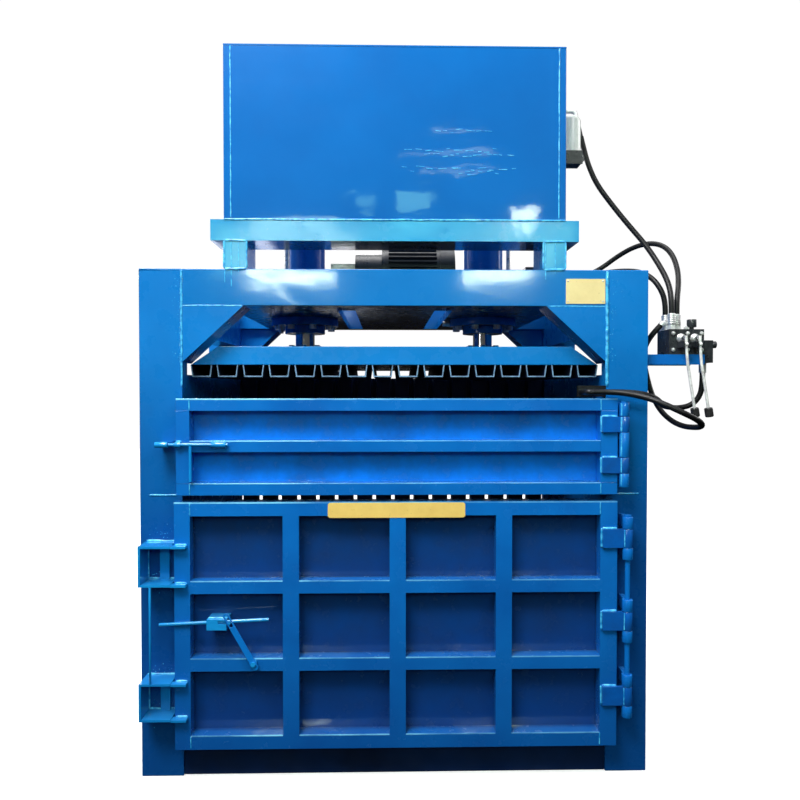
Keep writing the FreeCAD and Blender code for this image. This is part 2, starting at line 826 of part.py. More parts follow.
# ---------------------------------------------------------------- doors
def door_frame(left, right, bottom, top, rail, left_stile, right_stile, crossbars, uprights):
    """Welded grid of hollow sections in front of a sheet."""
    sheet_front = door_back - door_sheet
    pieces = [box(left, right, sheet_front, door_back, bottom, top)]
    pieces += capped_tube_x(left, right, door_front, sheet_front, bottom, bottom + rail, door_wall)
    pieces += capped_tube_x(left, right, door_front, sheet_front, top - rail, top, door_wall)
    stiles = [(left, left + left_stile), (right - right_stile, right)]
    for x0, x1 in stiles:
        pieces.append(box_tube("z", x0, x1, door_front, sheet_front, bottom + rail, top - rail, door_wall))
    inner_left = stiles[0][1]
    inner_right = stiles[1][0]
    for z0, z1 in crossbars:
        pieces.append(box_tube("x", inner_left, inner_right, door_front, sheet_front, z0, z1, door_wall))
    levels = [bottom + rail] + [z for pair in crossbars for z in pair] + [top - rail]
    for z0, z1 in zip(levels[0::2], levels[1::2]):
        for centre in uprights:
            x0 = centre - lower_door_upright_width / 2
            pieces.append(box_tube("z", x0, x0 + lower_door_upright_width, door_front, sheet_front, z0, z1, door_wall))
    return pieces


def make_upper_door():
    """Feed door: one long crossbar between the rails."""
    bar = (upper_bar_z - upper_door_bar / 2, upper_bar_z + upper_door_bar / 2)
    return door_frame(upper_door_left, door_right, upper_door_bottom, upper_door_top, upper_door_rail,
                      upper_door_left_stile, upper_door_right_stile, (bar,), ())


def make_lower_door():
    """Bale door: a grid of equal cells."""
    clear = lower_door_height - 2 * lower_door_rail - (lower_door_rows - 1) * lower_door_bar
    row = clear / lower_door_rows + lower_door_bar
    first = lower_door_bottom + lower_door_rail + row - lower_door_bar
    bars = [(first + step * row, first + step * row + lower_door_bar) for step in range(lower_door_rows - 1)]
    inner_left = lower_door_left + lower_door_left_stile
    inner_right = door_right - lower_door_right_stile
    column = (inner_right - inner_left + lower_door_upright_width) / lower_door_columns
    first = inner_left + column - lower_door_upright_width / 2 + lower_door_upright_shift
    uprights = [first + step * column for step in range(lower_door_columns - 1)]
    return door_frame(lower_door_left, door_right, lower_door_bottom, lower_door_top, lower_door_rail,
                      lower_door_left_stile, lower_door_right_stile, bars, uprights)


def door_strap(axis_x, knuckle, pin, start, z0, z1):
    """Strap on the door's front with the knuckle at its end."""
    strap = box(start, axis_x, door_front - strap_thickness, door_front, z0, z1)
    knuckle_body = rod((axis_x, hinge_axis_y, z0), "z", z1 - z0, knuckle)
    bore = rod((axis_x, hinge_axis_y, z0), "z", z1 - z0, pin + running_gap)
    return strap.fuse(knuckle_body).cut(bore).removeSplitter()


def post_knuckle(axis_x, knuckle, pin, z0, z1):
    """Knuckle on a block that stands out from the post."""
    block = box(axis_x - knuckle / 2, axis_x + knuckle / 2, hinge_axis_y, front, z0, z1)
    knuckle_body = rod((axis_x, hinge_axis_y, z0), "z", z1 - z0, knuckle)
    bore = rod((axis_x, hinge_axis_y, z0), "z", z1 - z0, pin + running_gap)
    return block.fuse(knuckle_body).cut(bore).removeSplitter()


def post_knuckles(axis_x, knuckle, pin, span, straps):
    """Post knuckles that fill the hinge between and beyond the straps."""
    edges = [span[0]] + [z for pair in straps for z in (pair[0] - knuckle_gap, pair[1] + knuckle_gap)] + [span[1]]
    return [post_knuckle(axis_x, knuckle, pin, z0, z1) for z0, z1 in zip(edges[0::2], edges[1::2])]


def lower_hinge_stations():
    """Knuckle span and strap span of each hinge of the bale door."""
    stations = []
    for low in lower_strap_bottoms:
        high = low + lower_strap_height
        stations.append(((low - lower_knuckle_length, high + lower_knuckle_length), (low, high)))
    return stations


def make_hinge_brackets():
    """All knuckles on the right post."""
    pieces = post_knuckles(upper_hinge_x, upper_knuckle_radius, upper_pin_radius, upper_hinge_span, upper_hinge_straps)
    for span, strap in lower_hinge_stations():
        pieces += post_knuckles(lower_hinge_x, lower_knuckle_radius, lower_pin_radius, span, (strap,))
    return pieces


def make_hinge_pins():
    """One pin for each door with a collar on top."""
    stations = lower_hinge_stations()
    spans = [(upper_hinge_x, upper_pin_radius, upper_hinge_span[0], upper_hinge_span[1]),
             (lower_hinge_x, lower_pin_radius, stations[-1][0][0], stations[0][0][1])]
    pins = []
    for x, radius, z0, z1 in spans:
        pin = rod((x, hinge_axis_y, z0), "z", z1 - z0, radius)
        collar = rod((x, hinge_axis_y, z1), "z", pin_collar, radius + pin_collar_rim)
        pins.append(pin.fuse(collar).removeSplitter())
    return pins


# ---------------------------------------------------------------- bolts and latches
def bolt_sleeve(x0, x1, pad_back):
    """Round sleeve for the upper bolt on a pad that reaches back to its carrier."""
    sleeve = rod((x0, upper_bolt_axis_y, upper_bolt_z), "x", x1 - x0, bolt_sleeve_radius)
    pad = box(x0, x1, upper_bolt_axis_y, pad_back, upper_bolt_z - bolt_pad_half, upper_bolt_z + bolt_pad_half)
    bore = rod((x0, upper_bolt_axis_y, upper_bolt_z), "x", x1 - x0, upper_bolt_radius + bolt_play)
    return sleeve.fuse(pad).cut(bore).removeSplitter()


def make_upper_door_fittings():
    """Hinge straps and bolt sleeves of the feed door."""
    pieces = [door_strap(upper_hinge_x, upper_knuckle_radius, upper_pin_radius, door_right - upper_strap_lap, z0, z1)
              for z0, z1 in upper_hinge_straps]
    for start, end in upper_sleeves:
        pieces.append(bolt_sleeve(upper_door_left + start, upper_door_left + end, door_front))
    return pieces


def make_upper_bolt():
    """Sliding bolt with a bar handle that hangs from it."""
    length = upper_door_left + upper_bolt_tail - upper_bolt_left
    bar = rod((upper_bolt_left, upper_bolt_axis_y, upper_bolt_z), "x", length, upper_bolt_radius)
    handle = rod((upper_door_left + upper_handle_offset, upper_bolt_axis_y, upper_bolt_z - upper_handle_drop), "z",
                 upper_handle_drop, upper_handle_radius)
    return [bar.fuse(handle).removeSplitter()]


def make_latch_keepers():
    """Plates, webs and keeper bar on the left post, and the feed door's keeper."""
    x0 = -post_inner - latch_outer
    x1 = -post_inner - latch_inner
    strip = [-post_inner - offset for offset in latch_strip]
    pieces = [box(x0, x1, latch_front, front, z, z + latch_plate) for z in latch_levels]
    for low, high in (latch_levels[0:2], latch_levels[2:4]):
        pieces.append(box(x0, x0 + latch_plate, latch_front, front, low + latch_plate, high))
        pieces.append(box(strip[0], strip[1], front - latch_strip_thickness, front, low + latch_plate, high))
    bar_low = latch_levels[1] + latch_plate
    pieces.append(rod((-post_inner - keeper_bar_offset, latch_front + keeper_bar_radius, bar_low), "z",
                      latch_levels[2] - bar_low, keeper_bar_radius))
    pieces.append(bolt_sleeve(upper_keeper_right - upper_keeper_length, upper_keeper_right, front))
    return pieces


def lower_bolt_point(x):
    """Point on the axis of the tilted lower bolt."""
    return lower_bolt_left + lower_bolt_direction * ((x - lower_bolt_left.x) / lower_bolt_direction.x)


def make_lower_door_fittings():
    """Hinge straps, latch plates, bolt guide and lever stud of the bale door."""
    pieces = [door_strap(lower_hinge_x, lower_knuckle_radius, lower_pin_radius, door_right - lower_strap_lap, z0, z1)
              for _, (z0, z1) in lower_hinge_stations()]
    for z in latch_levels:
        pieces.append(box(-post_inner - latch_door_outer, -post_inner + latch_door_inner,
                          latch_front - latch_door_reach, door_front, z, z + latch_plate))
    g0, g1 = (lower_door_left + offset for offset in lower_guide_span)
    low, high = (lower_bolt_z + offset for offset in lower_guide_height)
    guide_front = lever_back + lower_guide_lip
    guide = box(g0, g1, guide_front, door_back - door_sheet, low, high)
    reach = g1 - g0
    guide = guide.cut(rod(lower_bolt_point(g0 - reach), lower_bolt_direction, 3 * reach,
                          lower_bolt_radius + bolt_play))
    slot_left = lever_pin_x - lower_bolt_travel - lower_pin_radius_bolt - lower_pin_slot_play
    slot_low = lower_bolt_point(slot_left).z - lower_pin_radius_bolt - lower_pin_slot_play
    slot_high = lower_bolt_point(g1).z + lower_pin_radius_bolt + lower_pin_slot_play
    guide = guide.cut(box(slot_left, g1, guide_front, lower_bolt_left.y, slot_low, slot_high))
    pieces.append(guide)
    collar_end = lever_back + seat_gap
    head_back = lever_front - seat_gap
    stud = rod((lever_pivot.x, head_back, lever_pivot.z), "y", door_front - head_back, lever_stud_radius)
    collar = rod((lever_pivot.x, collar_end, lever_pivot.z), "y", door_front - collar_end, lever_stud_radius + 4)
    head = hexagon((lever_pivot.x, head_back - lever_stud_head, lever_pivot.z), "y", lever_stud_head,
                   lever_stud_radius + 3)
    pieces.append(stud.fuse([collar, head]).removeSplitter())
    return pieces


def make_lower_bolt():
    """Tilted sliding bolt with the pin that the lever drives."""
    length = (lower_bolt_right_x - lower_bolt_left.x) / lower_bolt_direction.x
    bar = rod(lower_bolt_left, lower_bolt_direction, length, lower_bolt_radius)
    centre = lower_bolt_point(lever_pin_x)
    pin_front = lever_front - lever_pin_end
    pin = rod((centre.x, pin_front, centre.z), "y", centre.y - pin_front, lower_pin_radius_bolt)
    return [bar.fuse(pin).removeSplitter()]


def make_bolt_lever():
    """Flat lever, slotted for the bolt's pin and turning on the stud."""
    pin = lower_bolt_point(lever_pin_x)
    lean = math.degrees(math.atan2(pin.x - lever_pivot.x, pin.z - lever_pivot.z))
    half = lever_width / 2
    bar = box(-half, half, lever_front, lever_back, -lever_tail + half, lever_length - half)
    bar = bar.fuse([rod((0, lever_front, lever_length - half), "y", lever_thickness, half),
                    rod((0, lever_front, -lever_tail + half), "y", lever_thickness, half),
                    rod((0, lever_front, 0), "y", lever_thickness, half + lever_boss_rim)])
    slot_half = lever_slot_width / 2
    slot = box(-slot_half, slot_half, lever_front, lever_back, lever_slot[0], lever_slot[1])
    for end in lever_slot:
        slot = slot.fuse(rod((0, lever_front, end), "y", lever_thickness, slot_half))
    bore = rod((0, lever_front, 0), "y", lever_thickness, lever_stud_radius + running_gap)
    lever = bar.cut(slot).cut(bore).removeSplitter()
    lever.rotate(V(0, 0, 0), V(0, 1, 0), lean)
    lever.translate(V(lever_pivot.x, 0, lever_pivot.z))
    return [lever]


# ---------------------------------------------------------------- tank and filter
def make_tank_stand():
    """Two legs on the front beam and the ledge under the tank."""
    outer = tank_half_width
    leg = box_tube("z", outer - tank_leg_width, outer, front, tank_back, frame_height, ledge_bottom, frame_wall)
    ledge = capped_tube_x(-ledge_half_width, ledge_half_width, front, tank_back, ledge_bottom, tank_bottom, frame_wall)
    return [leg, mirror_x(leg)] + ledge


def make_oil_tank():
    """Oil tank, open at the top under its lid."""
    w = tank_half_width
    shell = box(-w, w, front, tank_back, tank_bottom, tank_top - tank_lid_thickness)
    inside = box(-w + tank_wall, w - tank_wall, front + tank_wall, tank_back - tank_wall,
                 tank_bottom + tank_wall, tank_top - tank_lid_thickness)
    return [shell.cut(inside)]


def make_tank_lid():
    """Lid plate with the filler neck."""
    lid = box(-tank_half_width, tank_half_width, front, tank_back, tank_top - tank_lid_thickness, tank_top)
    lid = lid.cut(rod((filler_x, filler_y, tank_top - tank_lid_thickness), "z", tank_lid_thickness, filler_bore))
    neck = ring((filler_x, filler_y, tank_top), "z", filler_height, filler_radius, filler_bore)
    return [lid, neck]


def make_filler_cap():
    """Twist cap with a spigot in the neck and a ribbed rim."""
    seat = tank_top + filler_height + seat_gap
    cap = rod((filler_x, filler_y, seat), "z", cap_height, cap_radius)
    notch_circle = cap_radius + cap_notch_offset
    for step in range(cap_notches):
        angle = math.radians(360 * step / cap_notches)
        notch_x = filler_x + notch_circle * math.cos(angle)
        notch_y = filler_y + notch_circle * math.sin(angle)
        cap = cap.cut(rod((notch_x, notch_y, seat), "z", cap_height, cap_notch))
    spigot = rod((filler_x, filler_y, seat - cap_spigot), "z", cap_spigot, filler_bore - seat_gap)
    return [cap.fuse(spigot).removeSplitter()]


def make_filter_head():
    """Bracket on the back of the tank and the head that the canister screws to."""
    head_bottom = filter_bottom - filter_head_height
    bracket_back = tank_back + filter_bracket
    margin_x, margin_z = filter_bracket_margin
    bracket = box(tank_half_width - filter_bracket_lap, filter_x + margin_x, tank_back, bracket_back,
                  head_bottom - margin_z, filter_bottom + filter_collar)
    head = box(filter_x - filter_head_half, filter_x + filter_head_half, bracket_back, filter_y + filter_head_half,
               head_bottom, filter_bottom - filter_collar)
    collar = rod((filter_x, filter_y, filter_bottom - filter_collar), "z", filter_collar, filter_radius - 1)
    return [bracket, head.fuse(collar).removeSplitter()]


def make_filter_canister():
    """Canister with a domed top."""
    can = rod((filter_x, filter_y, filter_bottom), "z", filter_height, filter_radius)
    top_edges = [edge for edge in can.Edges if edge.BoundBox.ZMin > filter_bottom + filter_height - 1]
    return [can.makeFillet(filter_radius * 0.5, top_edges)]


# ---------------------------------------------------------------- motor and pump
def fin_outline():
    """Outline of the finned motor body in the YZ plane."""
    points = []
    step = 2 * math.pi / motor_fin_count
    for fin in range(motor_fin_count):
        centre = fin * step
        for offset, radius in ((-motor_gap_half, motor_core_radius), (-motor_fin_half, motor_radius),
                               (motor_fin_half, motor_radius), (motor_gap_half, motor_core_radius)):
            angle = centre + offset * step
            points.append((radius * math.cos(angle), radius * math.sin(angle)))
    return points


def make_motor_housing():
    """Finned motor body and its two feet."""
    x0 = motor_left + shield_thickness
    outline = [V(x0, motor_axis_y + a, motor_axis_z + b) for a, b in fin_outline()]
    body = Part.Face(Part.makePolygon(outline + outline[:1])).extrude(V(motor_body_length, 0, 0))
    body = body.cut(rod((x0, motor_axis_y, motor_axis_z), "x", motor_body_length, motor_bore_radius))
    pieces = [body]
    plate_top = deck_top + motor_plate_thickness
    for side in (-1, 1):
        near, far = sorted(motor_axis_y + side * reach for reach in motor_foot)
        foot = box(x0 + motor_foot_inset, x0 + motor_body_length - motor_foot_inset, near, far,
                   plate_top, motor_axis_z - motor_foot_drop)
        pieces.append(foot.cut(rod((x0, motor_axis_y, motor_axis_z), "x", motor_body_length, motor_radius + seat_gap)))
    return pieces


def make_motor_plate():
    """Plate across the decks under the motor."""
    y0, y1 = (motor_axis_y + reach for reach in motor_plate_y)
    return [box(*motor_plate_x, y0, y1, deck_top, deck_top + motor_plate_thickness)]


def make_motor_covers():
    """End shields and the slotted fan cowl."""
    shields = []
    for x in (motor_left, motor_right - shield_thickness):
        shields.append(ring((x, motor_axis_y, motor_axis_z), "x", shield_thickness,
                            motor_radius - shield_inset, shaft_radius + running_gap))
    cowl = rod((motor_right, motor_axis_y, motor_axis_z), "x", cowl_length, motor_radius)
    cowl = cowl.cut(rod((motor_right, motor_axis_y, motor_axis_z), "x", cowl_length - cowl_wall,
                        motor_radius - cowl_wall))
    cowl_face = motor_right + cowl_length - cowl_wall
    for step in range(cowl_slots):
        slot = box(cowl_face, cowl_face + cowl_wall, -cowl_slot_half, cowl_slot_half, *cowl_slot)
        slot.rotate(V(0, 0, 0), V(1, 0, 0), step * 360 / cowl_slots)
        slot.translate(V(0, motor_axis_y, motor_axis_z))
        cowl = cowl.cut(slot)
    return shields + [cowl]


def make_terminal_box():
    """Terminal box on top of the motor, with its lid and cable gland."""
    z0 = motor_axis_z + motor_radius
    z1 = z0 + terminal_height
    x0 = motor_left + terminal_start
    x1 = x0 + terminal_length
    half = terminal_half
    lap = terminal_lid_lap
    body = box(x0, x1, motor_axis_y - half, motor_axis_y + half, z0, z1)
    lid = box(x0 - lap, x1 + lap, motor_axis_y - half - lap, motor_axis_y + half + lap, z1, z1 + terminal_lid)
    gland = hexagon(((x0 + x1) / 2, motor_axis_y + half, (z0 + z1) / 2), "y", *terminal_gland)
    return [body, lid, gland]


def make_motor_rotor():
    """Rotor core on its shaft with the cooling fan."""
    core_start = motor_left + shield_thickness + rotor_inset
    core = rod((core_start, motor_axis_y, motor_axis_z), "x", motor_body_length - 2 * rotor_inset,
               motor_bore_radius - rotor_gap)
    shaft_start = motor_left - rotor_shaft_reach
    shaft = rod((shaft_start, motor_axis_y, motor_axis_z), "x", motor_right + rotor_shaft_tail - shaft_start,
                shaft_radius)
    rotor = core.fuse(shaft).removeSplitter()
    hub_start = motor_right + fan_gap
    fan = ring((hub_start, motor_axis_y, motor_axis_z), "x", fan_width, fan_hub, shaft_radius)
    for step in range(fan_blades):
        blade = box(hub_start, hub_start + fan_width, -fan_blade_half, fan_blade_half, fan_hub - 2, cowl_slot[1])
        blade.rotate(V(0, 0, 0), V(1, 0, 0), step * 360 / fan_blades)
        blade.translate(V(0, motor_axis_y, motor_axis_z))
        fan = fan.fuse(blade)
    return [rotor, fan.removeSplitter()]


def make_bell_housing():
    """Bell between motor and pump with a window for the coupling."""
    bell = ring((bell_left, motor_axis_y, motor_axis_z), "x", bell_length, bell_radius, bell_radius - bell_wall)
    plate = rod((bell_left, motor_axis_y, motor_axis_z), "x", bell_flange, bell_radius)
    flange = ring((motor_left - bell_flange, motor_axis_y, motor_axis_z), "x", bell_flange,
                  bell_flange_radius, bell_radius - bell_wall)
    bell = bell.fuse([plate, flange])
    bell = bell.cut(rod((bell_left, motor_axis_y, motor_axis_z), "x", bell_flange, gear_shaft_radius + seat_gap))
    from_pump, from_motor, half, rise = bell_window
    window = box(bell_left + from_pump, motor_left - from_motor, motor_axis_y - half, motor_axis_y + half,
                 motor_axis_z + rise, motor_axis_z + bell_radius + 1)
    return [bell.cut(window).removeSplitter()]


def coupling_middle():
    """Where the cushion of the shaft coupling starts and ends."""
    end = motor_left - coupling_hub_length - coupling_gap
    return end - coupling_gap, end


def make_shaft_coupling():
    """Two hubs with a cushion between them."""
    start, end = coupling_middle()
    motor_hub = ring((end, motor_axis_y, motor_axis_z), "x", coupling_hub_length, coupling_hub, shaft_radius)
    cushion = ring((start, motor_axis_y, motor_axis_z), "x", coupling_gap, cushion_radius, cushion_bore)
    hub_start = bell_left + pump_hub_start
    pump_hub = ring((hub_start, motor_axis_y, motor_axis_z), "x", start - hub_start, coupling_hub, gear_shaft_radius)
    return [motor_hub, cushion, pump_hub]


def gear_outline(first_angle):
    """Outline of a small pump gear with straight-sided teeth."""
    pitch_radius = gear_module * gear_teeth / 2
    root = pitch_radius - gear_dedendum
    crown = pitch_radius + gear_addendum
    profile = ((-0.36, root), (-0.235, pitch_radius), (-0.10, crown), (0.10, crown), (0.235, pitch_radius),
               (0.36, root))
    points = []
    step = 2 * math.pi / gear_teeth
    for tooth in range(gear_teeth):
        for offset, radius in profile:
            angle = first_angle + (tooth + offset) * step
            points.append((radius * math.cos(angle), radius * math.sin(angle)))
    return points


def pump_gear(centre_z, first_angle):
    """Pump gear in its chamber."""
    x0 = bell_left - pump_cover - (pump_body_length + gear_length) / 2
    outline = [V(x0, motor_axis_y + a, centre_z + b) for a, b in gear_outline(first_angle)]
    return Part.Face(Part.makePolygon(outline + outline[:1])).extrude(V(gear_length, 0, 0))


def make_drive_gear():
    """Pump's upper gear on the shaft that the coupling turns."""
    gear = pump_gear(motor_axis_z, -math.pi / 2)
    start = pump_left + gear_shaft_end
    shaft = rod((start, motor_axis_y, motor_axis_z), "x", coupling_middle()[0] - start, gear_shaft_radius)
    return [gear.fuse(shaft).removeSplitter()]


def make_driven_gear():
    """Pump's lower gear on its own short shaft."""
    gear = pump_gear(driven_axis_z, math.pi / 2 + math.pi / gear_teeth)
    start = pump_left + gear_shaft_end
    shaft = rod((start, motor_axis_y, driven_axis_z), "x", bell_left - gear_shaft_end - start, gear_shaft_radius)
    return [gear.fuse(shaft).removeSplitter()]


def make_pump_housing():
    """Gear pump: rear cover, body with two chambers, and front cover."""
    half = pump_half_width
    low = driven_axis_z - half
    high = motor_axis_z + half - pump_top_inset
    pieces = []
    ends = [pump_left, pump_left + pump_cover, pump_left + pump_cover + pump_body_length, bell_left]
    chamber_radius = gear_module * gear_teeth / 2 + gear_addendum + running_gap
    for index, (x0, x1) in enumerate(zip(ends, ends[1:])):
        body = box(x0, x1, motor_axis_y - half, motor_axis_y + half, low, high)
        radius = chamber_radius if index == 1 else gear_shaft_radius + running_gap
        bore_start = x0 + pump_bore_floor if index == 0 else x0
        lower_end = x1 - pump_bore_floor if index == 2 else x1
        body = body.cut(rod((bore_start, motor_axis_y, motor_axis_z), "x", x1 - bore_start, radius))
        body = body.cut(rod((bore_start, motor_axis_y, driven_axis_z), "x", lower_end - bore_start, radius))
        pieces.append(body)
    return pieces


# ---------------------------------------------------------------- valve group
def make_valve_shelf():
    """Folded shelf on the right post."""
    low = shelf_top - shelf_height
    fold = shelf_top - shelf_wall
    top = box(half_width, valve_right, valve_front, valve_back, fold, shelf_top)
    front_lip = box(half_width, valve_right, valve_front, valve_front + shelf_wall, low, fold)
    back_lip = box(half_width, valve_right, valve_back - shelf_wall, valve_back, low, fold)
    return [top.fuse([front_lip, back_lip]).removeSplitter()]


def make_valve_block():
    """Cast valve body with lever brackets, its relief screw and knob, and the outlet section at its end."""
    body_front = valve_front + valve_inset
    body = box(valve_left, valve_right, body_front, valve_back - valve_inset, shelf_top, valve_top)
    ear_gap, ear_width, ear_reach, ear_half = lever_ear
    pins = []
    for x in hand_lever_tops:
        body = body.cut(rod((x, body_front, spool_height), "y", valve_back - spool_back_wall - body_front,
                            spool_radius + running_gap))
        for side in (-1, 1):
            inner = x + side * (hand_lever_radius + ear_gap)
            near, far = sorted((inner, inner + side * ear_width))
            body = body.fuse(box(near, far, hand_lever_y - ear_reach, body_front,
                                 hand_lever_pivot_z - ear_half, hand_lever_pivot_z + ear_half))
        pin_half = hand_lever_radius + ear_gap + ear_width
        pin = rod((x - pin_half, hand_lever_y, hand_lever_pivot_z), "x", 2 * pin_half, hand_lever_pin_radius)
        pins.append(pin)
    body = body.cut(Part.makeCompound(pins))
    outlet = box(valve_right, outlet_right, valve_front + outlet_inset, valve_back - outlet_inset,
                 outlet_bottom, outlet_top)
    relief = rod((outlet_right, valve_middle, outlet_top - relief_drop), "x", relief_length, relief_radius)
    knob_x = valve_right - relief_knob_offset
    stem = rod((knob_x, valve_middle, valve_top), "z", *relief_stem)
    relief_knob = rod((knob_x, valve_middle, valve_top + relief_stem[0]), "z", *relief_knob_size)
    return [body.removeSplitter(), outlet, relief, stem.fuse(relief_knob).removeSplitter()] + pins


def make_spool(x):
    """Valve spool whose nose meets the lever's upper arm."""
    nose = hand_lever_y + spool_nose_gap
    return [rod((x, nose, spool_height), "y", valve_back - spool_back_wall - spool_end_gap - nose, spool_radius)]


def make_hand_lever(x):
    """Bent hand lever: short arm up to the spool, long arm down to the knob."""
    pivot = V(x, hand_lever_y, hand_lever_pivot_z)
    boss = rod((x - 5, hand_lever_y, pivot.z), "x", 10, hand_lever_boss)
    upper = rod((x, hand_lever_y, pivot.z), "z", spool_arm + 6, hand_lever_radius)
    bend = pivot + hand_lever_bend
    foot = pivot + hand_lever_foot
    first = rod(pivot, bend - pivot, (bend - pivot).Length, hand_lever_radius)
    second = rod(bend, foot - bend, (foot - bend).Length, hand_lever_radius)
    joint = Part.makeSphere(hand_lever_radius, bend)
    bore = rod((x - 6, hand_lever_y, pivot.z), "x", 12, hand_lever_pin_radius + running_gap)
    return [boss.fuse([upper, first, second, joint]).cut(bore).removeSplitter()]


def make_knob(x):
    """Knob on the lower end of a hand lever."""
    pivot = V(x, hand_lever_y, hand_lever_pivot_z)
    foot = pivot + hand_lever_foot
    along = (hand_lever_foot - hand_lever_bend).normalize()
    knob = Part.makeCylinder(knob_radius, knob_length, foot, along)
    return [knob.makeFillet(knob_round, knob.Edges[:1] + knob.Edges[2:3])]


# ---------------------------------------------------------------- hoses, fittings and pipes
return_hose = [(734, -225, 2366), (746, -226, 2315), (763, -231, 2250), (792, -241, 2177), (841, -256, 2101),
               (903, -277, 2012), (963, -308, 1925), (999, -350, 1840), (1012, -404, 1765), (1012, -430, 1700),
               (1012, -430, 1650)]
pump_hose = [(690, -60, 1832), (740, -60, 1832), (804, -58, 1847), (868, -64, 1878), (924, -90, 1922),
             (980, -130, 1955), (1032, -180, 1962), (1068, -230, 1938), (1083, -278, 1888), (1080, -326, 1822),
             (1064, -368, 1760), (1044, -400, 1704), (1044, -400, 1650)]
lift_hose = [(690, -120, 1832), (740, -120, 1832), (804, -130, 1840), (864, -162, 1846), (910, -222, 1842),
             (948, -290, 1827), (979, -338, 1793), (1002, -364, 1744), (1014, -370, 1696), (1014, -370, 1650)]
press_hose = [(984, -400, 1609), (959, -400, 1584), (943, -377, 1550), (948, -328, 1516), (965, -293, 1469),
              (981, -284, 1412), (992, -302, 1350), (1006, -344, 1293), (1026, -402, 1254), (1042, -468, 1238),
              (1051, -531, 1238), (1048, -591, 1243), (1029, -645, 1255), (991, -683, 1274), (941, -693, 1296),
              (893, -675, 1321), (850, -641, 1342), (808, -604, 1355), (766, -576, 1362), (724, -562, 1363),
              (684, -562, 1363)]
drain_hose = [(1142, -400, 1434), (1142, -400, 1390), (1137, -392, 1347), (1111, -382, 1313), (1064, -380, 1302),
              (1014, -402, 1306), (974, -448, 1313), (944, -500, 1328), (900, -544, 1348), (838, -550, 1361),
              (774, -530, 1363), (716, -530, 1363)]


def make_hose_fittings():
    """Ferrules, nuts, elbows, the block on the deck and the bracket where two hoses end."""
    pieces = []
    for x, y, z in (return_hose[-1], pump_hose[-1], lift_hose[-1]):
        pieces.append(hexagon((x, y, valve_top), "z", nut_height, nut_radius))
        pieces.append(rod((x, y, valve_top + nut_height), "z", z - valve_top - nut_height, ferrule_radius))
    start = V(*press_hose[0])
    along = (start - V(*press_hose[1])).normalize()
    corner = start + along * ((press_elbow_x - start.x) / along.x)
    pieces.append(round_tube([(corner.x, corner.y, valve_top), tuple(corner), tuple(start)],
                             elbow_radius, None, elbow_bend))
    pieces.append(rod(drain_hose[0], "z", outlet_bottom - drain_hose[0][2], ferrule_radius))
    top = V(*return_hose[0])
    pieces.append(rod(top, top - V(*return_hose[1]), return_stub, return_stub_radius))
    block_left, block_right = (deck_bearer_centre + offset for offset in block_span)
    for route in (pump_hose, lift_hose):
        x, y, z = route[0]
        pieces.append(rod((block_right, y, z), "x", x - block_right, ferrule_radius))
    pieces.append(box(block_left, block_right, *block_y, frame_height, frame_height + block_height))
    plate_front = front + bracket_setback
    plate_bottom = upper_door_top + bracket_rise
    pieces.append(box(post_inner - bracket_length, post_inner, plate_front, plate_front + bracket_thickness,
                      plate_bottom, plate_bottom + bracket_height))
    for (x, y, z), offset in zip((press_hose[-1], drain_hose[-1]), bracket_fittings):
        corner_x = post_inner - offset
        pieces.append(round_tube([(x, y, z), (corner_x, y, z), (corner_x, plate_front, z)],
                                 elbow_radius, None, elbow_bend))
    return pieces


def make_steel_pipes():
    """Steel pipes from the block and the tank, with the cylinders' ports."""
    high = barrel_top - port_drop
    barrel = rod((cylinder_centre, 0, flange_bottom), "z", barrel_top, barrel_radius)
    port_end = cylinder_centre + barrel_radius + port_length
    port = box(cylinder_centre + barrel_radius - 5, port_end, -port_half, port_half,
               high - port_half, high + port_half).cut(barrel)
    pipes = [port, mirror_x(port)]
    pipe_x = port_end - port_half
    under_port = high - port_half
    pipes.append(round_tube([(pipe_x, riser_y, frame_height + block_height), (pipe_x, riser_y, high - 150),
                             (pipe_x, 0, high - 60), (pipe_x, 0, under_port)], pipe_radius, None, pipe_bend))
    left_x = -cylinder_centre - left_riser[0]
    pipes.append(round_tube([(left_x, left_riser[1], deck_top), (left_x, left_riser[1], high - 220),
                             (-pipe_x, 0, high - 60), (-pipe_x, 0, under_port)], wide_pipe_radius, None, pipe_bend))
    top = V(*return_hose[0])
    lean = (top - V(*return_hose[1])).normalize()
    stub_end = top + lean * return_stub
    entry = V(tank_half_width - return_pipe_inset, tank_back, stub_end.z + return_pipe_rise)
    corner = stub_end + lean * (return_pipe_rise / lean.z)
    route = [tuple(entry), (entry.x, corner.y, entry.z), tuple(corner), tuple(stub_end)]
    pipes.append(round_tube(route, return_pipe_radius, None, return_pipe_bend))
    nut_length, nut_corner, stem_radius = gauge_port
    place = V(-cylinder_centre, 0, flange_bottom) + V(-gauge_port_offset.x, gauge_port_offset.y, 0)
    pipes.append(hexagon(place - V(0, 0, nut_length), "z", nut_length, nut_corner))
    pipes.append(rod(place - V(0, 0, 2 * nut_length), "z", nut_length, stem_radius))
    length, radius, nut_start, side_nut = side_port
    edge = cylinder_centre - cylinder_flange_radius
    middle = flange_bottom + cylinder_flange_thickness / 2
    side = rod((edge - length, 0, middle), "x", length, radius)
    side = side.fuse(hexagon((edge - nut_start, 0, middle), "x", nut_start - 1, side_nut))
    pipes.append(side)
    return pipes


def make_rating_plate():
    """Blank plate on the front beam."""
    x0, x1 = (post_inner - offset for offset in rating_plate_x)
    z0, z1 = (beam_bottom + offset for offset in rating_plate_z)
    return [box(x0, x1, front - rating_plate_thickness, front, z0, z1)]


